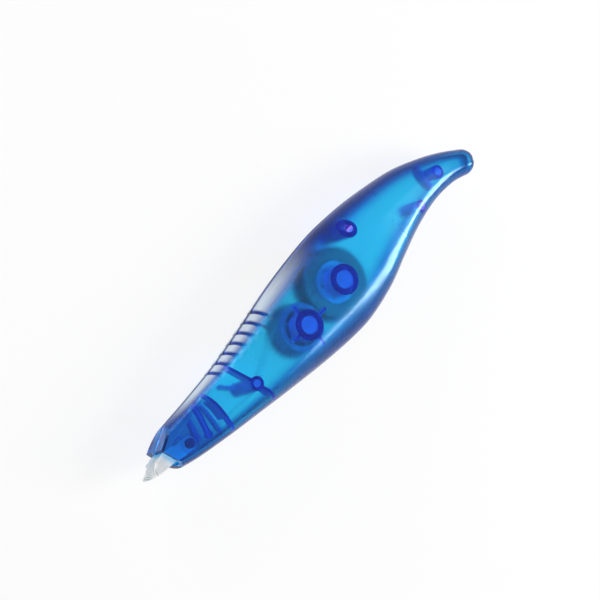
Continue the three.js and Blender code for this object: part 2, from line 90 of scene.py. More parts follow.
# How rough all noise is, and how softly scratches blend into cloudy patches
NOISE_ROUGHNESS = 0.55
HANDLING_BLEND = 0.1

Point = tuple[float, float]
Triple = tuple[float, float, float]


class Join(Enum):
    """How one solid meets another."""

    ADD = "UNION"
    CUT = "DIFFERENCE"
    KEEP = "INTERSECT"


class Skin(Enum):
    """The kinds of moulded surface on the case, as its finish reads them."""

    CUT = -1.0
    OUTSIDE = 0.0
    INSIDE = 1.0
    RIB = 2.0
    POST = 3.0
    TIP_PIN = 4.0

    def reached(self, skin: "Value") -> "Value":
        """1 where a surface is of this kind or a later one."""
        return skin.math("GREATER_THAN", self.value - 0.5)


class Body(Enum):
    """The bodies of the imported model."""

    HOUSING = "housing"
    DRIVE = "supply_drive"
    SUPPLY = "supply_reel"
    TAKE_UP = "take_up_reel"


# Plane curves and outlines


def spline(points: list[Point], places: np.ndarray) -> np.ndarray:
    """Points of a Catmull-Rom spline.

    Args:
        points: The control points, which the spline passes through.
        places: Where along it, from 0 at its start to 1 at its end.

    Returns:
        One row of x and y for each place.
    """
    control = np.asarray(points, float)
    last = len(control) - 1
    spot = np.clip(places, 0, 1) * last
    index = np.minimum(spot.astype(int), last - 1)
    share = (spot - index)[:, None]
    before = control[np.maximum(index - 1, 0)]
    start, end = control[index], control[index + 1]
    after = control[np.minimum(index + 2, last)]
    leave, arrive = (end - before) / 2, (after - start) / 2
    cubic = (2 * start - 2 * end + leave + arrive) * share**3
    square = (-3 * start + 3 * end - 2 * leave - arrive) * share**2
    return cubic + square + leave * share + start


def smoothstep(value: np.ndarray, low: float, high: float) -> np.ndarray:
    """An even S-shaped rise from 0 at low to 1 at high."""
    share = np.clip((value - low) / (high - low), 0, 1)
    return share * share * (3 - 2 * share)


def band(points: np.ndarray, width: float) -> list[Point]:
    """The outline of a strip of even width.

    Args:
        points: The line of points along the strip's middle.
        width: From side to side.

    Returns:
        The outline's corners, in order.
    """
    line = np.asarray(points, float)
    along = np.gradient(line, axis=0)
    along /= np.linalg.norm(along, axis=1)[:, None]
    side = np.stack([-along[:, 1], along[:, 0]], axis=1) * width / 2
    return [tuple(p) for p in np.vstack([line + side, (line - side)[::-1]])]


def curved_band(points: list[Point], width: float, steps: int = 24) -> list[Point]:
    """The outline of a strip along a spline through the points."""
    return band(spline(points, np.linspace(0, 1, steps + 1)), width)


def arc(centre: Point, radius: float, start: float, end: float, steps: int) -> np.ndarray:
    """Points on an arc, with its angles in degrees."""
    turn = np.radians(np.linspace(start, end, steps + 1))
    return np.stack([centre[0] + radius * np.cos(turn), centre[1] + radius * np.sin(turn)], 1)


def circle(centre: Point, radius: float, sides: int) -> list[Point]:
    """The corners of a round outline."""
    return [tuple(p) for p in arc(centre, radius, 0, 360 * (1 - 1 / sides), sides - 1)]


# Solids


class Solid:
    """A closed mesh in millimetres that joins, cuts and limits others."""

    def __init__(self, mesh: bpy.types.Mesh) -> None:
        """Takes over a mesh whose faces point outwards."""
        self.mesh = mesh

    @classmethod
    def from_faces(cls, points: np.ndarray, faces: list[list[int]]) -> "Solid":
        """Builds a solid and turns its faces outwards.

        Args:
            points: The corners, in millimetres.
            faces: Corner numbers of each face, all turned the same way.

        Returns:
            The solid.
        """
        mesh = bpy.data.meshes.new("solid")
        mesh.from_pydata([tuple(map(float, p)) for p in points], [], faces)
        measure = bmesh.new()
        measure.from_mesh(mesh)
        if measure.calc_volume(signed=True) < 0:
            mesh.flip_normals()
        measure.free()
        return cls(mesh)

    @classmethod
    def prism(cls, outline: list[Point], low: float, high: float) -> "Solid":
        """An outline in the x-y plane, raised to a solid.

        Args:
            outline: Its corners, in order.
            low: Height of its underside.
            high: Height of its top.

        Returns:
            The solid.
        """
        count = len(outline)
        points = [(x, y, z) for z in (low, high) for x, y in outline]
        sides = [[i, (i + 1) % count, (i + 1) % count + count, i + count] for i in range(count)]
        caps = [list(range(count))[::-1], list(range(count, 2 * count))]
        return cls.from_faces(np.array(points), sides + caps)

    @classmethod
    def rod(cls, centre: Point, radius: float, low: float, high: float, sides: int = 48) -> "Solid":
        """A round rod along z."""
        return cls.prism(circle(centre, radius, sides), low, high)

    @classmethod
    def turned(cls, profile: list[Point], centre: Point, sides: int = 96) -> "Solid":
        """A ring: a closed profile of radius and height, turned round an axis along z.

        Args:
            profile: Radius and height of each corner, none of them on the axis.
            centre: Where the axis stands.
            sides: How many steps go round.

        Returns:
            The ring.
        """
        turn = np.linspace(0, 2 * math.pi, sides, endpoint=False)
        count = len(profile)
        points = [
            (centre[0] + r * math.cos(t), centre[1] + r * math.sin(t), z)
            for t in turn
            for r, z in profile
        ]
        faces = []
        for i in range(sides):
            here, there = i * count, (i + 1) % sides * count
            for k in range(count):
                onward = (k + 1) % count
                faces.append([here + k, here + onward, there + onward, there + k])
        return cls.from_faces(np.array(points), faces)

    def combined(self, others: list["Solid"], join: Join) -> "Solid":
        """This solid joined with, cut by or limited to others.

        Args:
            others: The other solids, taken one after another.
            join: What is done with them.

        Returns:
            The new solid.
        """
        work = bpy.data.objects.new("work", self.mesh.copy())
        tools = [bpy.data.objects.new("tool", other.mesh) for other in others]
        for piece in [work, *tools]:
            bpy.context.scene.collection.objects.link(piece)
        for tool in tools:
            step = work.modifiers.new("join", "BOOLEAN")
            step.solver, step.operation, step.object = "MANIFOLD", join.value, tool
        depsgraph = bpy.context.evaluated_depsgraph_get()
        made = bpy.data.meshes.new_from_object(work.evaluated_get(depsgraph))
        for piece in [work, *tools]:
            bpy.data.objects.remove(piece)
        return Solid(made)

    def add(self, *others: "Solid") -> "Solid":
        """This solid with others joined to it."""
        return self.combined(list(others), Join.ADD)

    def cut(self, *others: "Solid") -> "Solid":
        """This solid with others cut out of it."""
        return self.combined(list(others), Join.CUT)

    def keep(self, *others: "Solid") -> "Solid":
        """What this solid shares with others."""
        return self.combined(list(others), Join.KEEP)

    def bevelled(self, width: float) -> "Solid":
        """This solid with its edges rounded.

        Args:
            width: How far the rounding reaches from each edge.

        Returns:
            The rounded solid.
        """
        work = bpy.data.objects.new("work", self.mesh.copy())
        bpy.context.scene.collection.objects.link(work)
        step = work.modifiers.new("round", "BEVEL")
        step.width, step.segments = width, BEVEL_SEGMENTS
        step.limit_method, step.angle_limit = "ANGLE", BEVEL_OVER
        depsgraph = bpy.context.evaluated_depsgraph_get()
        made = bpy.data.meshes.new_from_object(work.evaluated_get(depsgraph))
        bpy.data.objects.remove(work)
        return Solid(made)

    def skinned(self, skin: Skin) -> "Solid":
        """This solid, with all its faces marked as one kind of surface.

        Args:
            skin: The kind of surface.

        Returns:
            The same solid.
        """
        self.mesh.attributes.new(SKIN, "FLOAT", "FACE")
        marks = self.mesh.attributes[SKIN].data
        marks.foreach_set("value", [skin.value] * len(marks))
        return self

    def rotated(self, degrees: float) -> "Solid":
        """This solid, turned about the z axis."""
        self.mesh.transform(Matrix.Rotation(math.radians(degrees), 4, "Z"))
        return self

    def moved(self, centre: Point) -> "Solid":
        """This solid, with its own axis moved to a centre."""
        self.mesh.transform(Matrix.Translation((*centre, 0)))
        return self


def joined(solids: list[Solid]) -> Solid:
    """Several solids as one."""
    return solids[0].add(*solids[1:])


def slab(low: float, high: float) -> Solid:
    """Everything between two heights."""
    reach = 10 * BEYOND
    return Solid.prism([(-reach, -reach), (reach, -reach), (reach, reach), (-reach, reach)], low, high)


def left_of(start: Point, end: Point, shift: float = 0.0) -> Solid:
    """Everything to the left of a line.

    Args:
        start: One point on the line.
        end: Another, farther along it.
        shift: How far the line is first moved to its left.

    Returns:
        The solid.
    """
    a, b = np.array(start), np.array(end)
    along = (b - a) / np.linalg.norm(b - a)
    side = np.array([-along[1], along[0]])
    corners = [(-BEYOND, 0), (BEYOND, 0), (BEYOND, BEYOND), (-BEYOND, BEYOND)]
    outline = [tuple(a + along * reach + side * (away + shift)) for reach, away in corners]
    return Solid.prism(outline, -BEYOND, BEYOND)


# Node trees


class Value:
    """An output socket whose arithmetic adds Math nodes."""

    def __init__(self, graph: "Graph", socket: bpy.types.NodeSocket) -> None:
        """Wraps a socket of a graph."""
        self.graph = graph
        self.socket = socket

    def math(self, operation: str, *others: object) -> "Value":
        """The result of a Math node on this value and others."""
        return self.graph.math(operation, self, *others)

    def __add__(self, other: object) -> "Value":
        """self + other"""
        return self.graph.math("ADD", self, other)

    def __radd__(self, other: object) -> "Value":
        """other + self"""
        return self.graph.math("ADD", other, self)

    def __sub__(self, other: object) -> "Value":
        """self - other"""
        return self.graph.math("SUBTRACT", self, other)

    def __rsub__(self, other: object) -> "Value":
        """other - self"""
        return self.graph.math("SUBTRACT", other, self)

    def __mul__(self, other: object) -> "Value":
        """self * other"""
        return self.graph.math("MULTIPLY", self, other)

    def __rmul__(self, other: object) -> "Value":
        """other * self"""
        return self.graph.math("MULTIPLY", other, self)

    def __truediv__(self, other: object) -> "Value":
        """self / other"""
        return self.graph.math("DIVIDE", self, other)

    def __rtruediv__(self, other: object) -> "Value":
        """other / self"""
        return self.graph.math("DIVIDE", other, self)


class Graph:
    """Adds nodes to a shader tree or a geometry tree."""

    def __init__(self, tree: bpy.types.NodeTree) -> None:
        """Wraps a node tree."""
        self.tree = tree

    def node(
        self,
        kind: str,
        settings: dict[str, object] | None = None,
        inputs: dict[str | int, object] | None = None,
    ) -> bpy.types.Node:
        """Adds a node.

        Args:
            kind: The node's type.
            settings: Its properties, set before its sockets.
            inputs: A value or a link for each socket, by name or number.

        Returns:
            The node.
        """
        node = self.tree.nodes.new(kind)
        for name, value in (settings or {}).items():
            setattr(node, name, value)
        for name, value in (inputs or {}).items():
            self.put(node.inputs[name], value)
        return node

    def put(self, socket: bpy.types.NodeSocket, value: object) -> None:
        """Links or sets an input.

        Args:
            socket: The input.
            value: A value or a socket that is linked to it, or a plain value that it is set to.
        """
        if isinstance(value, Value):
            self.tree.links.new(value.socket, socket)
        elif isinstance(value, bpy.types.NodeSocket):
            self.tree.links.new(value, socket)
        else:
            socket.default_value = value

    def value(
        self,
        kind: str,
        settings: dict[str, object] | None = None,
        inputs: dict[str | int, object] | None = None,
        output: str | int = 0,
    ) -> Value:
        """Adds a node and wraps one of its outputs."""
        return Value(self, self.node(kind, settings, inputs).outputs[output])

    def math(self, operation: str, *operands: object) -> Value:
        """Adds a Math node on values and numbers."""
        inputs = dict(enumerate(operands))
        return self.value("ShaderNodeMath", {"operation": operation}, inputs)

    def mix_colour(self, share: object, first: object, second: object) -> Value:
        """A colour between two, by share."""
        inputs = {0: share, 6: first, 7: second}
        return self.value("ShaderNodeMix", {"data_type": "RGBA"}, inputs, 2)


def rgba(red: float, green: float, blue: float) -> tuple[float, float, float, float]:
    """A plain colour with full alpha."""
    return red, green, blue, 1.0


class Surface(Graph):
    """A material's shader tree, with the textures that its finishes share."""

    def __init__(self, name: str) -> None:
        """Starts an empty material of this name.

        Args:
            name: The material's name.
        """
        self.material = bpy.data.materials.new(name)
        self.material.use_nodes = True
        super().__init__(self.material.node_tree)
        self.tree.nodes.clear()
        self.output = self.node("ShaderNodeOutputMaterial")
        self.place = self.value("ShaderNodeTexCoord", output="Object")

    def noise(self, size_mm: float, detail: float = 3.0, place: Value | None = None) -> Value:
        """Noise whose patches are about this size.

        Args:
            size_mm: Size of its patches.
            detail: How many finer layers it has.
            place: Where it is read, or nothing for the place on the piece.

        Returns:
            The noise, from 0 to 1.
        """
        inputs = {
            "Vector": place or self.place,
            "Scale": 1 / (size_mm * MM),
            "Detail": detail,
            "Roughness": NOISE_ROUGHNESS,
        }
        return self.value("ShaderNodeTexNoise", {}, inputs, "Fac")

    def stretched(self, scale: Triple) -> Value:
        """The place on the piece, stretched along its axes."""
        return self.value("ShaderNodeMapping", {}, {"Vector": self.place, "Scale": scale})

    def bump(self, height: Value, depth_mm: float, under: Value | None = None) -> Value:
        """A bumped normal.

        Args:
            height: The height, from 0 to 1.
            depth_mm: How deep a height of 1 is.
            under: The normal that it is laid on.

        Returns:
            The new normal.
        """
        inputs = {"Height": height, "Distance": depth_mm * MM, "Strength": 1.0}
        if under is not None:
            inputs["Normal"] = under
        return self.value("ShaderNodeBump", {}, inputs)

    def scratches(self) -> Value:
        """Fine scratches that run along the pen."""
        return self.noise(SCRATCH_MM, 4.0, self.stretched(SCRATCH_STRETCH))

    def handling(self, scratches: Value, cloud: Value) -> Value:
        """Where handling has dulled the skin: the scratches within the cloudy patches."""
        return scratches.math("SMOOTH_MIN", cloud, HANDLING_BLEND)

    def flow(self) -> Value:
        """A normal with the soft ripples of moulded plastic."""
        return self.bump(self.noise(RIPPLE_MM, 1.0), RIPPLE_DEPTH_MM)

    def grained(self, under: Value) -> Value:
        """A normal with the fine grain of a moulded skin, laid on another."""
        return self.bump(self.noise(GRAIN_MM, 2.0), GRAIN_DEPTH_MM, under)

    def ramp(self, value: Value, low: float, high: float) -> Value:
        """An even S-shaped rise from 0 at low to 1 at high."""
        settings = {"interpolation_type": "SMOOTHSTEP"}
        return self.value("ShaderNodeMapRange", settings, {0: value, 1: low, 2: high})

    def lamps_let_through(self, shader: Value, share: Triple) -> Value:
        """A shader that doesn't keep the lamps' light out.

        Args:
            shader: What is seen.
            share: How much of each colour of the lamps' light passes.

        Returns:
            The new shader.
        """
        lamp_side = self.value("ShaderNodeBsdfTransparent", {}, {"Color": rgba(*share)})
        from_lamp = self.value("ShaderNodeLightPath", output="Is Shadow Ray")
        return self.mixed(from_lamp, shader, lamp_side)

    def plastic(self, inputs: dict[str | int, object]) -> Value:
        """A plastic's shader, with a value or a link for each of its inputs."""
        return self.value("ShaderNodeBsdfPrincipled", {}, inputs)

    def mixed(self, share: Value, first: Value, second: Value) -> Value:
        """A shader between two, by share."""
        return self.value("ShaderNodeMixShader", {}, {0: share, 1: first, 2: second})

    def depth(self, colour: Triple, density: float) -> Value:
        """A volume that turns what is seen through it to a colour."""
        inputs = {"Color": rgba(*colour), "Density": density}
        return self.value("ShaderNodeVolumeAbsorption", {}, inputs)

    def finish(self, shader: Value, volume: Value | None = None) -> bpy.types.Material:
        """Sends the shaders to the output.

        Args:
            shader: The surface's shader.
            volume: What fills the piece, if anything does.

        Returns:
            The material.
        """
        self.put(self.output.inputs["Surface"], shader)
        if volume is not None:
            self.put(self.output.inputs["Volume"], volume)
        return self.material


@dataclass(frozen=True)
class ClearPlastic:
    """Clear moulded plastic that takes colour from its depth.

    Args:
        name: The material's name.
        tint: What the skin lets through.
        shade: What the skin lets through in its darker patches.
        body: Colour that the plastic turns to with depth.
        density: How soon it does, per metre.
        roughness: Of the clean skin.
        scuff: What handling adds to the roughness, at most.
        shadow: What each skin lets through for lamps.
        haze: Share of light that the plastic scatters, from 0 to 1.
        cloud_mm: Size of its cloudy patches.
        ior: How strongly it bends light.
    """

    name: str
    tint: Triple
    shade: Triple
    body: Triple
    density: float
    roughness: float
    scuff: float
    shadow: Triple
    haze: float = 0.0
    cloud_mm: float = 14.0
    ior: float = 1.5

    def material(self) -> bpy.types.Material:
        """Builds the material.

        Returns:
            The material.
        """
        s = Surface(self.name)
        cloud = s.noise(self.cloud_mm)
        inputs = {
            "Base Color": s.mix_colour(cloud, rgba(*self.tint), rgba(*self.shade)),
            "Roughness": self.roughness + self.scuff * s.handling(s.scratches(), cloud),
            "IOR": self.ior,
            "Transmission Weight": 1.0 - self.haze,
            "Normal": s.grained(s.flow()),
        }
        clear = s.plastic(inputs)
        return s.finish(s.lamps_let_through(clear, self.shadow), s.depth(self.body, self.density))


@dataclass(frozen=True)
class CasePlastic:
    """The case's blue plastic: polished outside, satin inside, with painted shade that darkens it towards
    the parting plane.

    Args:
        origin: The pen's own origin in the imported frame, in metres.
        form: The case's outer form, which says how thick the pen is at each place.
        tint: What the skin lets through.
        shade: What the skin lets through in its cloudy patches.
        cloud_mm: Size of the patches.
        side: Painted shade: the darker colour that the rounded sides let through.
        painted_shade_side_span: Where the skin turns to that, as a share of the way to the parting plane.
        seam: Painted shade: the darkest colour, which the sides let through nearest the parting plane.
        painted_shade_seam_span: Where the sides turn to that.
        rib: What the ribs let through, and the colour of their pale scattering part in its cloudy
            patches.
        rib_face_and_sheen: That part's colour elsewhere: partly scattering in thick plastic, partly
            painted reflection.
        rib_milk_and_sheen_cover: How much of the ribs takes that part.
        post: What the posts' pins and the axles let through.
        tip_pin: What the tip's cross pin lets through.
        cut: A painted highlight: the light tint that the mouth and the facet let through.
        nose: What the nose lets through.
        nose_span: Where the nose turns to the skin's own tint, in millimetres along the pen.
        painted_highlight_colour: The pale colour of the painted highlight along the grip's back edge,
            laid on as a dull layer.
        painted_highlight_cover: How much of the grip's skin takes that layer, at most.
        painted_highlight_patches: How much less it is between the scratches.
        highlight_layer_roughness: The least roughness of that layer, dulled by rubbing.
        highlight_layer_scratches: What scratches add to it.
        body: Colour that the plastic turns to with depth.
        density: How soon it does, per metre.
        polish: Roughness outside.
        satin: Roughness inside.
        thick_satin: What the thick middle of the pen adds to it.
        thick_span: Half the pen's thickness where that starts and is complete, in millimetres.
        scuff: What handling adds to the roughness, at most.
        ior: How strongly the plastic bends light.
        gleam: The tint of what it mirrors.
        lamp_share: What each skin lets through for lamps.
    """

    origin: Triple
    form: "CaseForm"
    tint: Triple = (0.93, 0.98, 1.0)
    shade: Triple = (0.86, 0.95, 1.0)
    cloud_mm: float = 14.0
    # Painted shade: darker colours on the rounded sides, darkest near the parting plane
    side: Triple = (0.0, 0.22, 0.6)
    painted_shade_side_span: Point = (0.14, 0.42)
    seam: Triple = (0.0, 0.05, 0.28)
    painted_shade_seam_span: Point = (0.42, 0.78)
    # Partly scattering in the thick ribs, partly a painted reflection of their edges
    rib: Triple = (0.32, 0.2, 0.64)
    rib_face_and_sheen: Triple = (0.98, 0.14, 0.76)
    rib_milk_and_sheen_cover: float = 0.6
    post: Triple = (0.25, 0.5, 0.8)
    tip_pin: Triple = (0.12, 0.03, 0.24)
    # Painted highlight on the mouth and the facet
    cut: Triple = (0.7, 0.95, 1.0)
    nose: Triple = (0.25, 0.46, 0.76)
    nose_span: Point = (23.0, 31.0)
    # Painted highlight along the grip, laid on as a pale dull layer
    painted_highlight_colour: Triple = (0.82, 0.94, 1.0)
    painted_highlight_cover: float = 0.84
    painted_highlight_patches: float = 0.3
    highlight_layer_roughness: float = 0.5
    highlight_layer_scratches: float = 0.2
    body: Triple = (0.0, 0.845, 0.945)
    density: float = 1600.0
    polish: float = 0.13
    satin: float = 0.16
    thick_satin: float = 0.1
    thick_span: Point = (5.6, 8.6)
    scuff: float = 0.05
    ior: float = 1.4
    gleam: Triple = (0.5, 0.78, 1.0)
    lamp_share: Triple = (0.45, 0.75, 0.9)

    def depths(self, s: Surface) -> tuple[Value, Value, Value]:
        """Where a place is on the pen.

        Args:
            s: The material's shader tree.

        Returns:
            Millimetres along the pen, half the pen's thickness there, and the way down from the
            pen's face, from 0 on the face to 1 at the parting plane.
        """
        at = s.node("ShaderNodeSeparateXYZ", {}, {0: s.place})
        along = (Value(s, at.outputs[0]) - self.origin[0]) / MM
        up = ((Value(s, at.outputs[2]) - self.origin[2]) / MM).math("ABSOLUTE")
        f = self.form
        rise = s.ramp(along, *f.nose_taper) * (f.belly_half - f.nose_half)
        fall = s.ramp(along, *f.tail_taper) * (f.belly_half - f.tail_half)
        half = rise - fall + f.nose_half
        return along, half, 1.0 - up / half

    def colour(self, s: Surface, cloud: Value, along: Value, down: Value, skin: Value) -> Value:
        """What the plastic lets through.

        Args:
            s: The material's shader tree.
            cloud: The cloudy patches.
            along: Millimetres along the pen.
            down: The way down from the pen's face, from 0 to 1.
            skin: The kind of surface.

        Returns:
            The colour.
        """
        colour = s.mix_colour(cloud, rgba(*self.tint), rgba(*self.shade))
        colour = s.mix_colour(s.ramp(along, *self.nose_span), rgba(*self.nose), colour)
        # Painted shade: the skin darkens down the rounded sides, most near the parting plane
        for span, painted_shade_colour in ((self.painted_shade_side_span, self.side), (self.painted_shade_seam_span, self.seam)):
            colour = s.mix_colour(s.ramp(down, *span), colour, rgba(*painted_shade_colour))
        # Painted highlight: the mouth and the facet take a light tint in place of the painted shade
        colour = s.mix_colour(skin.math("LESS_THAN", Skin.CUT.value / 2), colour, rgba(*self.cut))
        kinds = ((Skin.RIB, self.rib), (Skin.POST, self.post), (Skin.TIP_PIN, self.tip_pin))
        for kind, own in kinds:
            colour = s.mix_colour(kind.reached(skin), colour, rgba(*own))
        return colour

    def material(self) -> bpy.types.Material:
        """Builds the material.

        Returns:
            The material.
        """
        s = Surface("clear_blue_plastic")
        skin = s.value("ShaderNodeAttribute", {"attribute_name": SKIN}, output="Fac")
        along, half, down = self.depths(s)
        cloud, scratches, flow = s.noise(self.cloud_mm), s.scratches(), s.flow()
        thick = s.ramp(half, *self.thick_span)
        inside = Skin.INSIDE.reached(skin)
        satin = self.polish + (self.satin - self.polish + self.thick_satin * thick) * inside
        roughness = satin + self.scuff * s.handling(scratches, cloud)
        inputs = {
            "Base Color": self.colour(s, cloud, along, down, skin),
            "Roughness": roughness,
            "IOR": self.ior,
            "Specular Tint": rgba(*self.gleam),
            "Transmission Weight": 1.0,
            "Normal": s.grained(flow),
        }
        clear = s.plastic(inputs)
        # Ribs: a pale violet layer, partly scattering in the thick plastic, partly a painted reflection
        # of their edges
        face = s.mix_colour(cloud, rgba(*self.rib_face_and_sheen), rgba(*self.rib))
        face = s.mix_colour(Skin.TIP_PIN.reached(skin), face, rgba(*self.tip_pin))
        milky_sheen = s.plastic({"Base Color": face, "Roughness": roughness, "Normal": flow})
        # Painted highlight along the grip's back edge: a pale layer, dull from rubbing, mixed over the
        # skin
        dull = self.highlight_layer_roughness + self.highlight_layer_scratches * scratches
        highlight_layer = s.plastic({"Base Color": rgba(*self.painted_highlight_colour), "Roughness": dull, "Normal": flow})
        highlight_mask = s.value("ShaderNodeAttribute", {"attribute_name": GRIP_HIGHLIGHT_AND_WEAR}, output="Fac")
        patches = 1 - self.painted_highlight_patches + self.painted_highlight_patches * scratches
        milk_and_sheen = Skin.RIB.reached(skin) * self.rib_milk_and_sheen_cover
        moulded = s.mixed(milk_and_sheen, clear, milky_sheen)
        moulded = s.mixed(highlight_mask * patches * self.painted_highlight_cover, moulded, highlight_layer)
        shader = s.lamps_let_through(moulded, self.lamp_share)
        return s.finish(shader, s.depth(self.body, self.density))


@dataclass(frozen=True)
class MouldedPlastic:
    """Solid moulded plastic with faint flow marks and a fine grain.

    Args:
        name: The material's name.
        colour: Its main colour.
        deep: Its colour in the darker patches.
        roughness: Of the clean skin.
        grain_mm: Size of its grain.
        grain_depth_mm: Depth of its grain.
        grain_roughness: What the grain adds to the roughness, at most.
        cloud_mm: Size of the darker patches.
    """

    name: str
    colour: Triple
    deep: Triple
    roughness: float = 0.32
    grain_mm: float = 0.25
    grain_depth_mm: float = 0.004
    grain_roughness: float = 0.14
    cloud_mm: float = 3.0

    def material(self) -> bpy.types.Material:
        """Builds the material.

        Returns:
            The material.
        """
        s = Surface(self.name)
        cloud, grain = s.noise(self.cloud_mm), s.noise(self.grain_mm, 2.0)
        inputs = {
            "Base Color": s.mix_colour(cloud, rgba(*self.colour), rgba(*self.deep)),
            "Roughness": self.roughness + self.grain_roughness * grain,
            "Normal": s.bump(grain, self.grain_depth_mm),
        }
        return s.finish(s.plastic(inputs))


@dataclass(frozen=True)
class WoundFilm:
    """The side of a wound roll, whose turns show as fine rings round its axis.

    Args:
        name: The material's name.
        centre: The roll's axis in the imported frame, in metres.
        colour: Of the film's edge.
        line: Between two turns.
        pitch_mm: From turn to turn, as far as it shows.
        roughness: Of the film's edge.
        drift_mm: Size of the patches in which the rings wander.
        drift: How far they wander, in turns.
        uneven_mm: Size of the patches in which they are fainter.
        least_mark: How strong they are where they are faintest.
        uneven_roughness: What the patches add to the roughness, at most.
        ridge_mm: How far the turns stand out.
    """

    name: str
    centre: tuple[float, float]
    colour: Triple
    line: Triple
    pitch_mm: float = 0.32
    roughness: float = 0.5
    drift_mm: float = 4.0
    drift: float = 0.6
    uneven_mm: float = 1.1
    least_mark: float = 0.45
    uneven_roughness: float = 0.2
    ridge_mm: float = 0.02

    def material(self) -> bpy.types.Material:
        """Builds the material.

        Returns:
            The material.
        """
        s = Surface(self.name)
        kind = "ShaderNodeVectorMath"
        off = s.value(kind, {"operation": "SUBTRACT"}, {0: s.place, 1: (*self.centre, 0.0)})
        flat = s.value(kind, {"operation": "MULTIPLY"}, {0: off, 1: (1.0, 1.0, 0.0)})
        reach = s.value(kind, {"operation": "LENGTH"}, {0: flat}, "Value")
        turns = reach / (self.pitch_mm * MM) + s.noise(self.drift_mm) * self.drift
        wave = (turns * (2 * math.pi)).math("SINE") * 0.5 + 0.5
        uneven = s.noise(self.uneven_mm)
        mark = wave * (self.least_mark + (1 - self.least_mark) * uneven)
        inputs = {
            "Base Color": s.mix_colour(mark, rgba(*self.colour), rgba(*self.line)),
            "Roughness": self.roughness + self.uneven_roughness * uneven,
            "Normal": s.bump(wave, self.ridge_mm),
        }
        return s.finish(s.plastic(inputs))


@dataclass(frozen=True)
class ThinFilm:
    """Coated tape or its liner: thin, slightly see-through and softly streaked along its length.

    Args:
        name: The material's name.
        colour: Its face.
        edge: Its streaks.
        opacity: How much of what lies behind it hides.
        roughness: Of its face.
        streak_mm: Size of the streaks' noise before it is stretched.
        streak_stretch: How finely it repeats along each axis.
        streak_clear: How much less the streaks hide.
        fleck_mm: Size of the flecks in its coat.
        fleck_depth_mm: How far they stand out.
        fleck_roughness: What they add to the roughness, at most.
    """

    name: str
    colour: Triple
    edge: Triple
    opacity: float
    roughness: float
    streak_mm: float = 1.6
    streak_stretch: Triple = (0.15, 0.15, 2.2)
    streak_clear: float = 0.12
    fleck_mm: float = 0.3
    fleck_depth_mm: float = 0.002
    fleck_roughness: float = 0.2

    def material(self) -> bpy.types.Material:
        """Builds the material.

        Returns:
            The material.
        """
        s = Surface(self.name)
        streak = s.noise(self.streak_mm, place=s.stretched(self.streak_stretch))
        fleck = s.noise(self.fleck_mm, 2.0)
        inputs = {
            "Base Color": s.mix_colour(streak, rgba(*self.colour), rgba(*self.edge)),
            "Roughness": self.roughness + self.fleck_roughness * fleck,
            "Alpha": self.opacity - self.streak_clear * streak,
            "Normal": s.bump(fleck, self.fleck_depth_mm),
        }
        return s.finish(s.plastic(inputs))


# Geometry trees


class Tree(Graph):
    """A geometry tree with named inputs, which turns into a plain mesh."""

    def __init__(self, name: str) -> None:
        """Starts a tree with its geometry output.

        Args:
            name: The tree's name.
        """
        super().__init__(bpy.data.node_groups.new(name, "GeometryNodeTree"))
        self.sockets: dict[str, bpy.types.NodeTreeInterfaceSocket] = {}
        face = self.tree.interface
        face.new_socket("Geometry", in_out="INPUT", socket_type="NodeSocketGeometry")
        face.new_socket("Geometry", in_out="OUTPUT", socket_type="NodeSocketGeometry")
        self.entry = self.node("NodeGroupInput")
        self.exit = self.node("NodeGroupOutput")

    def size(self, name: str, whole: bool = False) -> Value:
        """Adds a named input.

        Args:
            name: The input's name.
            whole: True if it takes whole numbers.

        Returns:
            The input, as a value of the tree.
        """
        kind = "NodeSocketInt" if whole else "NodeSocketFloat"
        made = self.tree.interface.new_socket(name, in_out="INPUT", socket_type=kind)
        self.sockets[name] = made
        return Value(self, self.entry.outputs[name])

    def close(self, geometry: Value, material: bpy.types.Material) -> None:
        """Ends the tree in real meshes with their material.

        Args:
            geometry: The tree's result.
            material: Its material.
        """
        real = self.value("GeometryNodeRealizeInstances", {}, {"Geometry": geometry})
        inputs = {"Geometry": real, "Material": material}
        self.put(self.exit.inputs[0], self.value("GeometryNodeSetMaterial", {}, inputs))

    def around(self, piece: Value, count: Value, radius: Value) -> Value:
        """Copies of a piece on a circle round the origin, each with its x axis outwards.

        Args:
            piece: The piece.
            count: How many copies there are.
            radius: Radius of the circle.

        Returns:
            The copies.
        """
        places = self.value("GeometryNodeMeshCircle", {}, {"Vertices": count, "Radius": radius})
        at = self.value("GeometryNodeInputPosition")
        outward = self.value("FunctionNodeAlignRotationToVector", {"axis": "X"}, {"Vector": at})
        inputs = {"Points": places, "Instance": piece, "Rotation": outward}
        return self.value("GeometryNodeInstanceOnPoints", {}, inputs)

    def raised(self, geometry: Value, height: Value) -> Value:
        """Geometry moved up by a height."""
        lift = self.value("ShaderNodeCombineXYZ", {}, {2: height})
        return self.value("GeometryNodeTransform", {}, {"Geometry": geometry, "Translation": lift})

    def grown(self, sizes: dict[str, float], seed: bpy.types.Mesh | None = None) -> Solid:
        """The tree's result as a plain mesh.

        Args:
            sizes: A value for each named input.
            seed: The mesh that goes in, if the tree needs one.

        Returns:
            The result, with no modifier left.
        """
        mesh = seed or bpy.data.meshes.new("seed")
        work = bpy.data.objects.new("work", mesh)
        bpy.context.scene.collection.objects.link(work)
        step = work.modifiers.new("grow", "NODES")
        step.node_group = self.tree
        for name, value in sizes.items():
            step[self.sockets[name].identifier] = value
        work.update_tag()
        depsgraph = bpy.context.evaluated_depsgraph_get()
        made = bpy.data.meshes.new_from_object(work.evaluated_get(depsgraph))
        bpy.data.objects.remove(work)
        return Solid(made)


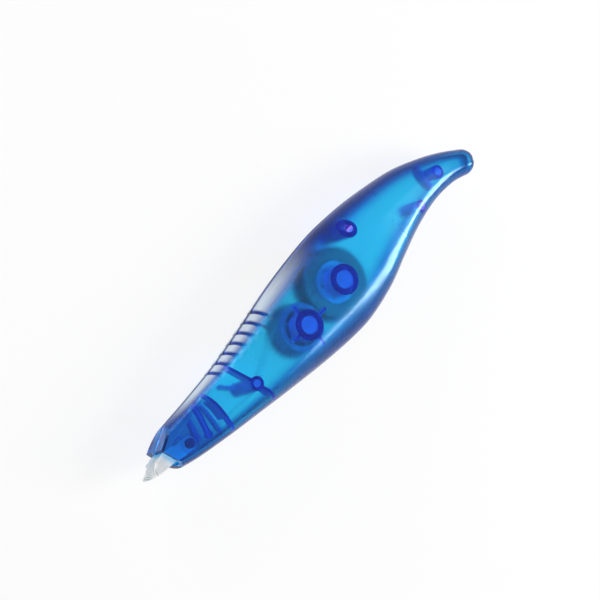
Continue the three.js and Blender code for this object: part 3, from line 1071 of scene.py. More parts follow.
def tooth_tree(material: bpy.types.Material) -> Tree:
    """A ring of gear teeth round the origin, each with rounded flanks.

    Args:
        material: The finish that the teeth start with.

    Returns:
        The tree.
    """
    t = Tree("gear_teeth")
    teeth = t.size("Teeth", whole=True)
    root, height = t.size("Root Radius"), t.size("Height")
    root_width, pitch_width, tip_width = (
        t.size(f"{name} Width") for name in ("Root", "Pitch", "Tip")
    )
    low, thickness = t.size("Low"), t.size("Thickness")
    flank_points = 5
    box_size = t.value("ShaderNodeCombineXYZ", {}, {0: height, 1: 1.0, 2: thickness})
    block = t.value(
        "GeometryNodeMeshCube",
        {},
        {"Size": box_size, "Vertices X": flank_points, "Vertices Y": 2, "Vertices Z": 2},
    )
    at = t.node("ShaderNodeSeparateXYZ", {}, {0: t.value("GeometryNodeInputPosition")})
    across, along, up = (Value(t, output) for output in at.outputs)
    rise = across / height + 0.5
    left, fall = 1 - rise, rise * (1 - rise)
    chord = root_width * left + tip_width * rise
    belly = pitch_width - 0.5 * (root_width + tip_width)
    width = chord + 4 * belly * fall
    shaped = t.value("ShaderNodeCombineXYZ", {}, {0: across, 1: along * width, 2: up})
    tooth = t.value("GeometryNodeSetPosition", {}, {"Geometry": block, "Position": shaped})
    ring = t.around(tooth, teeth, root + height / 2)
    t.close(t.raised(ring, low + thickness / 2), material)
    return t


def spoke_tree(material: bpy.types.Material) -> Tree:
    """A ring of straight spokes round the origin.

    Args:
        material: The finish that the spokes start with.

    Returns:
        The tree.
    """
    t = Tree("spokes")
    count = t.size("Count", whole=True)
    inner, outer = t.size("Inner Radius"), t.size("Outer Radius")
    width, low, high = t.size("Width"), t.size("Low"), t.size("High")
    box_size = t.value("ShaderNodeCombineXYZ", {}, {0: outer - inner, 1: width, 2: high - low})
    bar = t.value("GeometryNodeMeshCube", {}, {"Size": box_size})
    ring = t.around(bar, count, (inner + outer) / 2)
    t.close(t.raised(ring, (low + high) / 2), material)
    return t


def winding_tree(material: bpy.types.Material) -> Tree:
    """Fine raised rings on one side of a roll, one for each few turns of its film.

    Args:
        material: The finish that the rings start with.

    Returns:
        The tree.
    """
    t = Tree("winding_rings")
    turns = t.size("Turns", whole=True)
    inner, outer = t.size("Inner Radius"), t.size("Outer Radius")
    wire, level = t.size("Wire"), t.size("Level")
    ring_steps, wire_steps = 96, 5
    circle_kind = "GeometryNodeCurvePrimitiveCircle"
    places = t.value("GeometryNodeMeshLine", {}, {"Count": turns, "Offset": (0.0, 0.0, 0.0)})
    number = t.value("GeometryNodeInputIndex")
    reach = inner + (outer - inner) * number / (turns - 1)
    scale = t.value("ShaderNodeCombineXYZ", {}, {0: reach, 1: reach, 2: 1.0})
    unit = t.value(circle_kind, {}, {"Resolution": ring_steps, "Radius": 1.0})
    inputs = {"Points": places, "Instance": unit, "Scale": scale}
    rings = t.value("GeometryNodeInstanceOnPoints", {}, inputs)
    lines = t.value("GeometryNodeRealizeInstances", {}, {"Geometry": rings})
    round_wire = t.value(circle_kind, {}, {"Resolution": wire_steps, "Radius": wire})
    wires = t.value("GeometryNodeCurveToMesh", {}, {"Curve": lines, "Profile Curve": round_wire})
    t.close(t.raised(wires, level), material)
    return t


def ribbon_tree(material: bpy.types.Material) -> Tree:
    """A closed strip of film along a line of points.

    Args:
        material: The finish that the strip starts with.

    Returns:
        The tree.
    """
    t = Tree("ribbon")
    width, thickness = t.size("Width"), t.size("Thickness")
    line = t.value("GeometryNodeMeshToCurve", {}, {"Mesh": t.entry.outputs["Geometry"]})
    upright = t.value("GeometryNodeSetCurveNormal", {"mode": "Z_UP"}, {"Curve": line})
    section = t.value(
        "GeometryNodeCurvePrimitiveQuadrilateral", {}, {"Width": thickness, "Height": width}
    )
    inputs = {"Curve": upright, "Profile Curve": section, "Fill Caps": True}
    t.close(t.value("GeometryNodeCurveToMesh", {}, inputs), material)
    return t


# The pen's own frame and the sizes that several pieces share


@dataclass(frozen=True)
class Post:
    """A round post along z."""

    x: float
    y: float
    radius: float

    @property
    def centre(self) -> Point:
        """Where its axis stands."""
        return self.x, self.y


@dataclass(frozen=True)
class Layout:
    """Places and sizes that the case, the reels and the tip share, in millimetres."""

    supply_axis: Point = (85.0, 0.6)
    reel_line: float = 186.0
    nose_post: Post = Post(43.2, -2.4, 2.1)
    belly_post: Post = Post(96.8, 9.8, 2.7)
    tail_post_low: Post = Post(120.6, -1.2, 1.75)
    tail_post_high: Post = Post(132.4, 1.9, 1.9)
    tip_eye: Post = Post(16.5, -1.2, 2.1)
    tip_edge: Post = Post(0.95, -0.5, 0.25)
    blade_root: Point = (7.9, 1.6)
    gap: float = 0.3
    parting_gap: float = 0.2
    tooth_size: float = 0.5
    supply_teeth: int = 42
    take_up_teeth: int = 30
    gear_thickness: float = 1.0
    axle_radius: float = 2.3
    hub_wall: float = 1.1
    tape_half: float = 2.5
    flange: float = 0.5
    film: float = 0.12
    guard_gap: float = 0.15
    guard_thickness: float = 0.45
    tip_pin_radius: float = 1.15

    @property
    def take_up_axis(self) -> Point:
        """Where the take-up reel's axle stands, with its gear in mesh with the other.

        Returns:
            The axle's x and y.
        """
        reach = self.tooth_size * (self.supply_teeth + self.take_up_teeth) / 2
        turn = math.radians(self.reel_line)
        x, y = self.supply_axis
        return x + reach * math.cos(turn), y + reach * math.sin(turn)

    @property
    def axes(self) -> tuple[Point, Point]:
        """Where the axles of both reels stand."""
        return self.supply_axis, self.take_up_axis

    @property
    def posts(self) -> tuple[Post, ...]:
        """The posts that close the case."""
        return self.nose_post, self.belly_post, self.tail_post_low, self.tail_post_high

    @property
    def bore(self) -> float:
        """Radius of the bores that turn on the axles."""
        return self.axle_radius + self.gap

    @property
    def hub(self) -> float:
        """Outer radius of both gears' hubs."""
        return self.bore + self.hub_wall

    @property
    def flange_top(self) -> float:
        """Top of both reels' upper flanges."""
        return self.tape_half + self.gap + self.flange

    @property
    def gear_top(self) -> float:
        """Top of both gears' plates."""
        return -self.flange_top - self.gap

    @property
    def gear_low(self) -> float:
        """Underside of both gears."""
        return self.gear_top - self.gear_thickness

    @property
    def bearing_low(self) -> float:
        """Where the front shell's bearing rings begin."""
        return self.flange_top + self.gap

    @property
    def guard_inner(self) -> float:
        """Inner side of the tip's guards."""
        return self.tape_half + self.guard_gap

    @property
    def guard_outer(self) -> float:
        """Outer side of the tip's guards."""
        return self.guard_inner + self.guard_thickness


class PenFrame:
    """Carries finished pieces from the pen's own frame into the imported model's."""

    def __init__(self, layout: Layout) -> None:
        """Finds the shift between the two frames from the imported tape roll.

        Args:
            layout: The pen's layout.
        """
        low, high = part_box("tape_roll")
        centre = (low + high) / 2 / MM
        x, y = layout.supply_axis
        self.shift = Vector((centre.x - x, centre.y - y, centre.z))

    def metres(self, point: Point, height: float = 0.0) -> Vector:
        """A point of the pen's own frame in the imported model's."""
        return (Vector((*point, height)) + self.shift) * MM

    def place(
        self,
        name: str,
        solid: Solid,
        material: bpy.types.Material,
        body: Body,
        slot: str,
        nodes: tuple[str, ...],
    ) -> None:
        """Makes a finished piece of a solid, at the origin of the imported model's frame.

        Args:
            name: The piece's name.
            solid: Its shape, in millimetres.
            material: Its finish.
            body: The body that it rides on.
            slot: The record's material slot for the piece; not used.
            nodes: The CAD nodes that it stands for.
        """
        mesh = solid.mesh.copy()
        mesh.name = name
        mesh.transform(Matrix.Scale(MM, 4) @ Matrix.Translation(self.shift))
        mesh.materials.clear()
        mesh.materials.append(material)
        mesh.polygons.foreach_set("material_index", [0] * len(mesh.polygons))
        mesh.polygons.foreach_set("use_smooth", [True] * len(mesh.polygons))
        mesh.set_sharp_from_angle(angle=SMOOTH_UNDER)
        piece = bpy.data.objects.new(name, mesh)
        bpy.context.scene.collection.objects.link(piece)
        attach(piece, body.value)
        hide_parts(*nodes)
        mesh.calc_loop_triangles()
        log.info("%s: %d triangles on %s", name, len(mesh.loop_triangles), body.value)


def chamfered(profile: list[Point], size: float) -> list[Point]:
    """A closed outline with its corners cut.

    Args:
        profile: The outline's corners, in order.
        size: How far from each corner the cut starts, or less on a short edge.

    Returns:
        The new outline, with two corners for each old one.
    """
    most = 0.4
    corners = np.array(profile, float)
    result = []
    for i, corner in enumerate(corners):
        for other in (corners[i - 1], corners[(i + 1) % len(corners)]):
            reach = np.linalg.norm(other - corner)
            result.append(tuple(corner + (other - corner) * min(size / reach, most)))
    return result


# The case


@dataclass(frozen=True)
class Grid:
    """How finely the case body is drawn.

    Args:
        spacing: Between two sections, in millimetres.
        corner_steps: Steps round each rounded edge.
        flat_steps: Steps across each face.
        tail_steps: Sections that close the tail.
        detailed: True to draw the grip grooves and the seam.
    """

    spacing: float
    corner_steps: int
    flat_steps: int
    tail_steps: int
    detailed: bool


@dataclass(frozen=True)
class CaseForm:
    """The case's outer form: sections between two rails, each with a flat face and round edges.

    Spans are in millimetres along the pen, except groove_fade, which is in degrees round a
    corner, and highlight_rim and highlight_seam, which are shares of the half thickness. Where a
    groove's depth passes highlight_groove_limit, as a share of its full depth, the grip gets
    neither its painted highlight nor its dullness from rubbing.
    """

    upper_rail: tuple[Point, ...] = (
        (2, 5.4), (13, 6.8), (26, 7.55), (40, 8.7), (54, 10.8), (68, 13.25), (80, 14.65),
        (91, 15.3), (103, 14.65), (114, 13.1), (124, 11.0), (133, 7.6), (139.2, 4.5),
    )
    lower_rail: tuple[Point, ...] = (
        (2, -1.7), (13, -5.6), (26, -8.1), (40, -10.1), (54, -12.05), (68, -13.75), (80, -14.6),
        (88, -14.3), (98, -12.25), (107, -9.15), (117, -6.05), (127, -4.15), (135.2, -4.2),
    )
    tail_centre: Point = (142.1, -1.9)
    tail_radius: float = 3.9
    tail_turn: float = -27.0
    nose_half: float = 4.6
    belly_half: float = 9.0
    tail_half: float = 4.6
    nose_taper: Point = (8.0, 64.0)
    tail_taper: Point = (98.0, 142.0)
    nose_rounding: float = 0.42
    belly_rounding: float = 0.7
    belly_rounding_span: Point = (36.0, 76.0)
    tail_rounding: float = 0.8
    tail_rounding_span: Point = (100.0, 138.0)
    least_inner_rounding: float = 0.35
    wall: float = 1.2
    first_groove: float = 36.6
    groove_pitch: float = 3.8
    grooves: int = 7
    groove_half: float = 0.95
    groove_depth: float = 0.6
    groove_fade: Point = (42.0, 78.0)
    highlight_groove_limit: float = 0.55
    highlight_rim: Point = (0.4, 0.88)
    highlight_start: Point = (14.0, 30.0)
    highlight_end: Point = (62.0, 88.0)
    highlight_seam: Point = (0.02, 0.16)
    seam_depth: float = 0.16
    seam_reach: float = 0.42
    seam_angles: tuple[float, ...] = (0.0, 0.8, 1.7, 2.8)
    rail_steps: int = 4000
    mouth_top: Point = (7.7, 3.6)
    mouth_low: Point = (10.8, -4.8)
    facet_top: Point = (14.6, 6.7)

    def tail_axes(self) -> tuple[np.ndarray, np.ndarray]:
        """The tail's direction and the direction to its upper side."""
        turn = math.radians(self.tail_turn)
        return np.array([math.cos(turn), math.sin(turn)]), np.array([-math.sin(turn), math.cos(turn)])

    def rails(self, places: np.ndarray) -> tuple[np.ndarray, np.ndarray]:
        """Points of the upper and the lower rail at the same places along them.

        Args:
            places: Where, from 0 at the nose to 1 at the tail.

        Returns:
            The points of both rails, a row of x and y for each place.
        """
        side = self.tail_axes()[1] * self.tail_radius
        upper = [*self.upper_rail, tuple(np.array(self.tail_centre) + side)]
        lower = [*self.lower_rail, tuple(np.array(self.tail_centre) - side)]
        return spline(upper, places), spline(lower, places)

    def half_thickness(self, x: np.ndarray | float) -> np.ndarray | float:
        """Half of the case's thickness at x.

        Args:
            x: Distance from the tip.

        Returns:
            The half thickness there.
        """
        to_belly = (self.belly_half - self.nose_half) * smoothstep(x, *self.nose_taper)
        to_tail = (self.belly_half - self.tail_half) * smoothstep(x, *self.tail_taper)
        return self.nose_half + to_belly - to_tail

    def rounding(self, x: np.ndarray) -> np.ndarray:
        """Share of the half width that is rounded at x.

        Args:
            x: Distance from the tip.

        Returns:
            The share, from 0 to 1.
        """
        to_belly = (self.belly_rounding - self.nose_rounding) * smoothstep(x, *self.belly_rounding_span)
        to_tail = (self.tail_rounding - self.belly_rounding) * smoothstep(x, *self.tail_rounding_span)
        return self.nose_rounding + to_belly + to_tail

    def inner_half(self, x: float) -> float:
        """Height of the inner side of the front face at x."""
        return float(self.half_thickness(x)) - self.wall

    def groove_at(self, x: np.ndarray) -> np.ndarray:
        """Depth of the grip grooves at x on the upper rail.

        Args:
            x: Where, for each section.

        Returns:
            The depths.
        """
        centres = self.first_groove + self.groove_pitch * np.arange(self.grooves)
        nearest = np.abs(x[:, None] - centres[None, :]).min(axis=1)
        share = np.clip(nearest / self.groove_half, 0, 1)
        return self.groove_depth * (1 + np.cos(math.pi * share)) / 2

    def stations(self, grid: Grid) -> np.ndarray:
        """Where sections are drawn, as x on the upper rail.

        Args:
            grid: How finely the body is drawn.

        Returns:
            The places, from nose to tail.
        """
        start = self.upper_rail[0][0]
        end = self.tail_centre[0] + self.tail_axes()[1][0] * self.tail_radius
        even = np.linspace(start, end, round((end - start) / grid.spacing) + 1)
        if not grid.detailed:
            return even
        grip_start = self.first_groove - self.groove_pitch / 2
        grip_end = grip_start + self.grooves * self.groove_pitch
        steps_per_groove = 18
        fine = np.linspace(grip_start, grip_end, self.grooves * steps_per_groove + 1)
        return np.sort(np.concatenate([even[(even < grip_start) | (even > grip_end)], fine]))

    def sections(self, inset: float, grid: Grid) -> dict[str, np.ndarray]:
        """The middle, size and rounding of each section, from nose to tail.

        Args:
            inset: How far inside the outer surface they lie.
            grid: How finely the body is drawn.

        Returns:
            One row for each section, under the name of what it tells.
        """
        x = self.stations(grid)
        dense = np.linspace(0, 1, self.rail_steps + 1)
        places = np.interp(x, self.rails(dense)[0][:, 0], dense)
        upper, lower = self.rails(places)
        across = upper - lower
        length = np.linalg.norm(across, axis=1)
        middle = (upper + lower) / 2
        rows = {
            "middle": middle,
            "to_upper": across / length[:, None],
            "half_width": length / 2,
            "half": self.half_thickness(middle[:, 0]),
            "corner": length / 2 * self.rounding(middle[:, 0]),
            "groove": self.groove_at(x),
        }
        ahead, side = self.tail_axes()
        turn = np.arange(1, grid.tail_steps) * math.pi / 2 / grid.tail_steps
        shrink = np.cos(turn)
        reach = (self.tail_radius - inset) * np.sin(turn)
        tail = {
            "middle": np.array(self.tail_centre) + ahead * reach[:, None],
            "to_upper": np.tile(side, (len(turn), 1)),
            "half_width": inset + (self.tail_radius - inset) * shrink,
            "half": inset + (rows["half"][-1] - inset) * shrink,
            "corner": inset + (rows["corner"][-1] - inset) * shrink,
            "groove": np.zeros(len(turn)),
        }
        return {name: np.concatenate([rows[name], tail[name]]) for name in rows}

    def body(self, inset: float, grid: Grid) -> Solid:
        """The whole body, without its nose cuts.

        Args:
            inset: How far inside the outer surface it lies.
            grid: How finely it is drawn.

        Returns:
            A closed solid.
        """
        row = self.sections(inset, grid)
        seam_angles = self.seam_angles if grid.detailed else (0.0,)
        even = np.linspace(90 / grid.corner_steps, 90, grid.corner_steps)
        angle = np.radians(np.concatenate([seam_angles, even]))
        half_width = (row["half_width"] - inset)[:, None]
        half = (row["half"] - inset)[:, None]
        full_corner = row["corner"][:, None]
        corner = np.maximum(full_corner - inset, self.least_inner_rounding * full_corner)
        across = half_width - corner + corner * np.cos(angle)
        up = half * np.sin(angle)
        slope = np.stack([np.cos(angle) / corner, np.sin(angle) / half], axis=-1)
        slope /= np.linalg.norm(slope, axis=-1, keepdims=True)
        if grid.detailed:
            across = across - self.seam_depth * np.clip(1 - up / self.seam_reach, 0, 1)
        fade = 1 - smoothstep(np.degrees(angle), *self.groove_fade)
        depth = row["groove"][:, None] * fade * float(grid.detailed)
        upper = np.stack([across - slope[..., 0] * depth, up - slope[..., 1] * depth], axis=-1)
        lower = np.stack([-across, up], axis=-1)[:, ::-1]
        share = np.linspace(0, 1, grid.flat_steps + 1)[1:-1]
        flat_across = across[:, -1:] * (1 - 2 * share)
        flat = np.stack([flat_across, np.broadcast_to(half, flat_across.shape)], axis=-1)
        front = np.concatenate([upper, flat, lower], axis=1)
        back = front[:, -2:0:-1] * np.array([1, -1])
        loop = np.concatenate([front, back], axis=1)
        plan = row["middle"][:, None] + row["to_upper"][:, None] * loop[..., :1]
        points = np.concatenate([plan, loop[..., 1:]], axis=-1)
        solid = self.closed(points, inset)
        if grid.detailed:
            # The grip's painted highlight, with its dullness from rubbing, kept to the lands between the
            # grooves
            land = 1 - np.clip(row["groove"] / (self.highlight_groove_limit * self.groove_depth), 0, 1)
            highlight_mask = self.grip_highlight_and_wear(loop, row["middle"][:, 0], half[:, 0]) * land[:, None]
            solid.mesh.attributes.new(GRIP_HIGHLIGHT_AND_WEAR, "FLOAT", "POINT")
            solid.mesh.attributes[GRIP_HIGHLIGHT_AND_WEAR].data.foreach_set("value", [*highlight_mask.ravel(), 0.0])
        return solid

    def grip_highlight_and_wear(self, loop: np.ndarray, along: np.ndarray, half: np.ndarray) -> np.ndarray:
        """Where the ribbed back edge gets its painted highlight and is dulled by the fingers, for each
        point of each section.

        Args:
            loop: The sections' points, across the pen and through it.
            along: Where each section stands along the pen.
            half: Half the thickness at each section.

        Returns:
            From 0 where the skin is clear to 1 where the painted highlight is strongest and the skin
            dullest.
        """
        level = np.abs(loop[..., 1]) / half[:, None]
        upper = (loop[..., 0] > 0).astype(float)
        rim = smoothstep(level, *self.highlight_seam) * (1 - smoothstep(level, *self.highlight_rim))
        reach = smoothstep(along, *self.highlight_start) * (1 - smoothstep(along, *self.highlight_end))
        return upper * rim * reach[:, None]

    def closed(self, points: np.ndarray, inset: float) -> Solid:
        """Joins the sections' loops with faces and closes both ends.

        Args:
            points: The sections' points, one row for each section.
            inset: How far inside the outer surface they lie.

        Returns:
            A closed solid.
        """
        sections, size = points.shape[:2]
        apex = np.array(self.tail_centre) + self.tail_axes()[0] * (self.tail_radius - inset)
        corners = np.vstack([points.reshape(-1, 3), [*apex, 0]])
        faces = [list(range(size))[::-1]]
        for i in range(sections - 1):
            here, there = i * size, (i + 1) * size
            for k in range(size):
                onward = (k + 1) % size
                faces.append([here + k, here + onward, there + onward, there + k])
        last = (sections - 1) * size
        faces += [[last + k, last + (k + 1) % size, len(corners) - 1] for k in range(size)]
        return Solid.from_faces(corners, faces)

    def nose_cut(self, inset: float, grid: Grid, skin: Skin, cut: Skin) -> Solid:
        """The body with its mouth and its flat facet cut.

        Args:
            inset: How far inside the outer surface it lies.
            grid: How finely it is drawn.
            skin: The body's skin.
            cut: The skin of the two cut faces.

        Returns:
            A closed solid.
        """
        mouth = left_of(self.mouth_low, self.mouth_top, 2 * self.wall if inset > 0 else 0.0)
        facet = left_of(self.mouth_top, self.facet_top, -inset)
        return self.body(inset, grid).skinned(skin).cut(mouth.skinned(cut), facet.skinned(cut))


@dataclass(frozen=True)
class Case:
    """Both halves of the case, with the ribs, bosses, posts and axles moulded in them.

    The pip is the small round end of one gusset, axle_entry is how far an axle reaches into its
    bearing ring, post_top is where the back half's posts end, and root is how far a pin is sunk
    into what carries it.
    """

    layout: Layout
    form: CaseForm = CaseForm()
    outer_grid: Grid = Grid(0.8, 18, 10, 14, True)
    inner_grid: Grid = Grid(1.6, 12, 6, 8, False)
    rib: float = 0.9
    nose_rib_width: float = 1.4
    rib_gap: float = 0.4
    nose_rib: tuple[Point, ...] = ((25.2, 9.5), (24.1, 3.0), (22.5, -3.4))
    nose_rib_block: Post = Post(22.5, -3.2, 1.1)
    curved_rib: tuple[Point, ...] = ((26.9, 10.0), (29.6, 3.2), (29.9, -2.6), (28.8, -12.0))
    strand_divider: Post = Post(29.7, 0.1, 3.3)
    post_rib: tuple[Point, ...] = ((37.8, 11.0), (43.2, -2.4), (46.9, -14.0))
    post_gusset: tuple[Point, ...] = ((38.6, 2.2), (43.2, -2.4))
    tail_rib: tuple[Point, ...] = ((131.2, 9.5), (130.1, 2.6), (130.6, -6.5))
    bearing_wall: float = 1.9
    collar_wall: float = 1.1
    axle_entry: float = 2.4
    axle_bore: float = 1.3
    gussets: int = 4
    gusset_reach: float = 7.0
    gusset_width: float = 0.8
    gusset_depth: float = 1.3
    pip_radius: float = 0.55
    pip_depth: float = 1.9
    post_top: float = 1.2
    pin_radius: float = 0.85
    pin_length: float = 2.2
    pin_bevel: float = 0.3
    tip_boss_radius: float = 3.0
    root: float = 0.6

    def bar(self, line: tuple[Point, ...], low: float, high: float) -> Solid:
        """An upright rib along a curved line."""
        return Solid.prism(curved_band(list(line), self.rib), low, high)

    def cross_ribs(self, low: float, high: float) -> list[Solid]:
        """The ribs across the nose.

        Args:
            low: Where they begin.
            high: Where they end.

        Returns:
            The ribs.
        """
        return [
            Solid.prism(curved_band(list(self.nose_rib), self.nose_rib_width), low, high),
            self.bar(self.curved_rib, low, high),
            Solid.rod(self.nose_rib_block.centre, self.nose_rib_block.radius, low, high),
        ]

    def front_features(self) -> list[Solid]:
        """What stands on the inner side of the front half.

        Returns:
            The rings, gussets, sockets and ribs.
        """
        lay, form = self.layout, self.form
        ring_radius = lay.bore + self.bearing_wall
        parts = [
            Solid.rod(axis, ring_radius, lay.bearing_low, BEYOND, RING_SIDES)
            for axis in lay.axes
        ]
        inner = form.inner_half(lay.take_up_axis[0])
        axis = np.array(lay.take_up_axis)
        for i in range(self.gussets):
            turn = 2 * math.pi * i / self.gussets
            end = axis + self.gusset_reach * np.array([math.cos(turn), math.sin(turn)])
            outline = band(np.array([axis, end]), self.gusset_width)
            parts.append(Solid.prism(outline, inner - self.gusset_depth, BEYOND))
        pip = (axis[0] + self.gusset_reach, axis[1])
        parts.append(Solid.rod(pip, self.pip_radius, inner - self.pip_depth, BEYOND, TUBE_SIDES))
        socket_low = self.post_top + lay.gap
        parts += [Solid.rod(post.centre, post.radius, socket_low, BEYOND) for post in lay.posts]
        rib_low = lay.tape_half + self.rib_gap
        parts += self.cross_ribs(rib_low, BEYOND)
        parts.append(self.bar(self.post_rib, rib_low, BEYOND))
        seam, between = lay.parting_gap / 2, self.strand_divider
        divider = self.bar(self.curved_rib, seam, BEYOND)
        parts.append(divider.keep(Solid.rod(between.centre, between.radius, 0, BEYOND)))
        return parts

    def front_holes(self) -> list[Solid]:
        """The bores of the front half's rings and sockets.

        Returns:
            What is cut out.
        """
        lay = self.layout
        inner = self.form.inner_half
        return [
            *[Solid.rod(a, lay.bore, 0, inner(a[0]), RING_SIDES) for a in lay.axes],
            *[Solid.rod(p.centre, self.pin_radius + lay.gap, 0, inner(p.x)) for p in lay.posts],
        ]

    def back_features(self) -> list[Solid]:
        """What stands on the inner side of the back half, apart from its pins.

        Returns:
            The collars, posts, boss and ribs.
        """
        lay = self.layout
        rib_high = -lay.tape_half - self.rib_gap
        seam = -lay.parting_gap / 2
        collar = lay.axle_radius + self.collar_wall
        collar_top = lay.gear_low - lay.gap
        boss_top = -lay.guard_outer - lay.gap
        return [
            *[Solid.rod(a, collar, -BEYOND, collar_top) for a in lay.axes],
            *[Solid.rod(p.centre, p.radius, -BEYOND, self.post_top) for p in lay.posts],
            Solid.rod(lay.tip_eye.centre, self.tip_boss_radius, -BEYOND, boss_top),
            *self.cross_ribs(-BEYOND, rib_high),
            self.bar(self.post_gusset, -BEYOND, rib_high),
            self.bar(self.tail_rib, -BEYOND, seam),
        ]

    def back_pins(self) -> list[Solid]:
        """The axles and the posts' pins, which reach into the front half.

        Returns:
            The pins.
        """
        lay = self.layout
        axle = (lay.gear_low - lay.gap - self.root, lay.bearing_low + self.axle_entry)
        pin = (self.post_top - self.root, self.post_top + self.pin_length)
        axles = [Solid.rod(a, lay.axle_radius, *axle) for a in lay.axes]
        pins = [Solid.rod(p.centre, self.pin_radius, *pin) for p in lay.posts]
        return [rod.bevelled(self.pin_bevel) for rod in axles + pins]

    def tip_pin(self) -> tuple[Solid, Solid]:
        """The cross pin that holds the tip, and its bore in the front half.

        Returns:
            The pin and the bore.
        """
        lay = self.layout
        eye, top = lay.tip_eye, self.form.inner_half(lay.tip_eye.x)
        low = -lay.guard_outer - lay.gap - self.root
        pin = Solid.rod(eye.centre, lay.tip_pin_radius, low, top - lay.gap)
        bore = Solid.rod(eye.centre, lay.tip_pin_radius + lay.gap, 0, top)
        return pin.bevelled(self.pin_bevel), bore

    def axle_bores(self) -> list[Solid]:
        """The bores that make the axles sleeves, open at the end in the bearing ring.

        Returns:
            What is cut out.
        """
        lay = self.layout
        return [Solid.rod(a, self.axle_bore, lay.gear_low, BEYOND, HOLE_SIDES) for a in lay.axes]

    def halves(self) -> tuple[Solid, Solid]:
        """The front and the back half.

        Returns:
            Both solids.
        """
        form, edge = self.form, self.layout.parting_gap / 2
        boss_low = self.layout.guard_outer + self.layout.gap
        outer = form.nose_cut(0.0, self.outer_grid, Skin.OUTSIDE, Skin.CUT)
        hollow = outer.cut(form.nose_cut(form.wall, self.inner_grid, Skin.INSIDE, Skin.INSIDE))
        inside = form.nose_cut(form.wall / 2, self.inner_grid, Skin.INSIDE, Skin.INSIDE)
        inside = inside.cut(left_of(form.mouth_low, form.mouth_top))
        front_parts = joined(self.front_features()).keep(inside).skinned(Skin.RIB)
        boss = Solid.rod(self.layout.tip_eye.centre, self.tip_boss_radius, boss_low, BEYOND)
        boss = boss.keep(inside).skinned(Skin.INSIDE)
        back_parts = joined(self.back_features()).keep(inside).skinned(Skin.RIB)
        holes = [hole.skinned(Skin.POST) for hole in self.front_holes()]
        pins = [pin.skinned(Skin.POST) for pin in self.back_pins()]
        bores = [bore.skinned(Skin.POST) for bore in self.axle_bores()]
        tip_pin, tip_bore = (solid.skinned(Skin.TIP_PIN) for solid in self.tip_pin())
        above = slab(edge, BEYOND).skinned(Skin.INSIDE)
        below = slab(-BEYOND, -edge).skinned(Skin.INSIDE)
        front = hollow.keep(above).add(boss, front_parts).cut(*holes, tip_bore)
        back = hollow.keep(below).add(back_parts, *pins, tip_pin).cut(*bores)
        return front, back

    def build(self, pen: PenFrame) -> None:
        """Makes both halves.

        Args:
            pen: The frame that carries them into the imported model.
        """
        front, back = self.halves()
        material = CasePlastic(tuple(pen.metres((0.0, 0.0))), self.form).material()
        named = (("front_case_half", "front_shell", front), ("back_case_half", "back_shell", back))
        for name, node, solid in named:
            pen.place(name, solid, material, Body.HOUSING, "case_blue", (node,))


# The applicator tip


@dataclass(frozen=True)
class Tip:
    """The wedge that lays the tape, between two side guards, with its eye on the case's pin."""

    layout: Layout
    edge_arc: Point = (108.0, 261.0)
    guard_outline: tuple[Point, ...] = (
        (2.5, -1.35), (2.9, 0.3), (4.5, 1.95), (8.0, 2.35), (11.4, 2.1), (13.6, 0.4),
        (13.6, -2.9), (9.6, -2.0), (6.1, -1.8),
    )
    edge_bevel: float = 0.14
    guard_bevel: float = 0.12
    edge_steps: int = 6

    def solid(self) -> Solid:
        """The whole tip.

        Returns:
            The tip in its place.
        """
        lay = self.layout
        eye, edge, half = lay.tip_eye, lay.tip_edge, lay.guard_inner
        nose = [tuple(p) for p in arc(edge.centre, edge.radius, *self.edge_arc, self.edge_steps)]
        blade = [*nose, (eye.x, eye.y - eye.radius), (eye.x, eye.y + eye.radius), lay.blade_root]
        body = Solid.prism(blade, -half, half).bevelled(self.edge_bevel)
        ring = Solid.rod(eye.centre, eye.radius, -half, half)
        spans = [(half - FUSE, lay.guard_outer), (-lay.guard_outer, FUSE - half)]
        outline = list(self.guard_outline)
        guards = [Solid.prism(outline, *span).bevelled(self.guard_bevel) for span in spans]
        bore = Solid.rod(eye.centre, lay.tip_pin_radius + lay.gap, -BEYOND, BEYOND)
        return body.add(ring, *guards).cut(bore)

    def build(self, pen: PenFrame, finish: ClearPlastic) -> None:
        """Makes the tip."""
        nodes = ("applicator_tip",)
        pen.place("wedge_tip", self.solid(), finish.material(), Body.HOUSING, "tip_clear", nodes)


# The geared reels


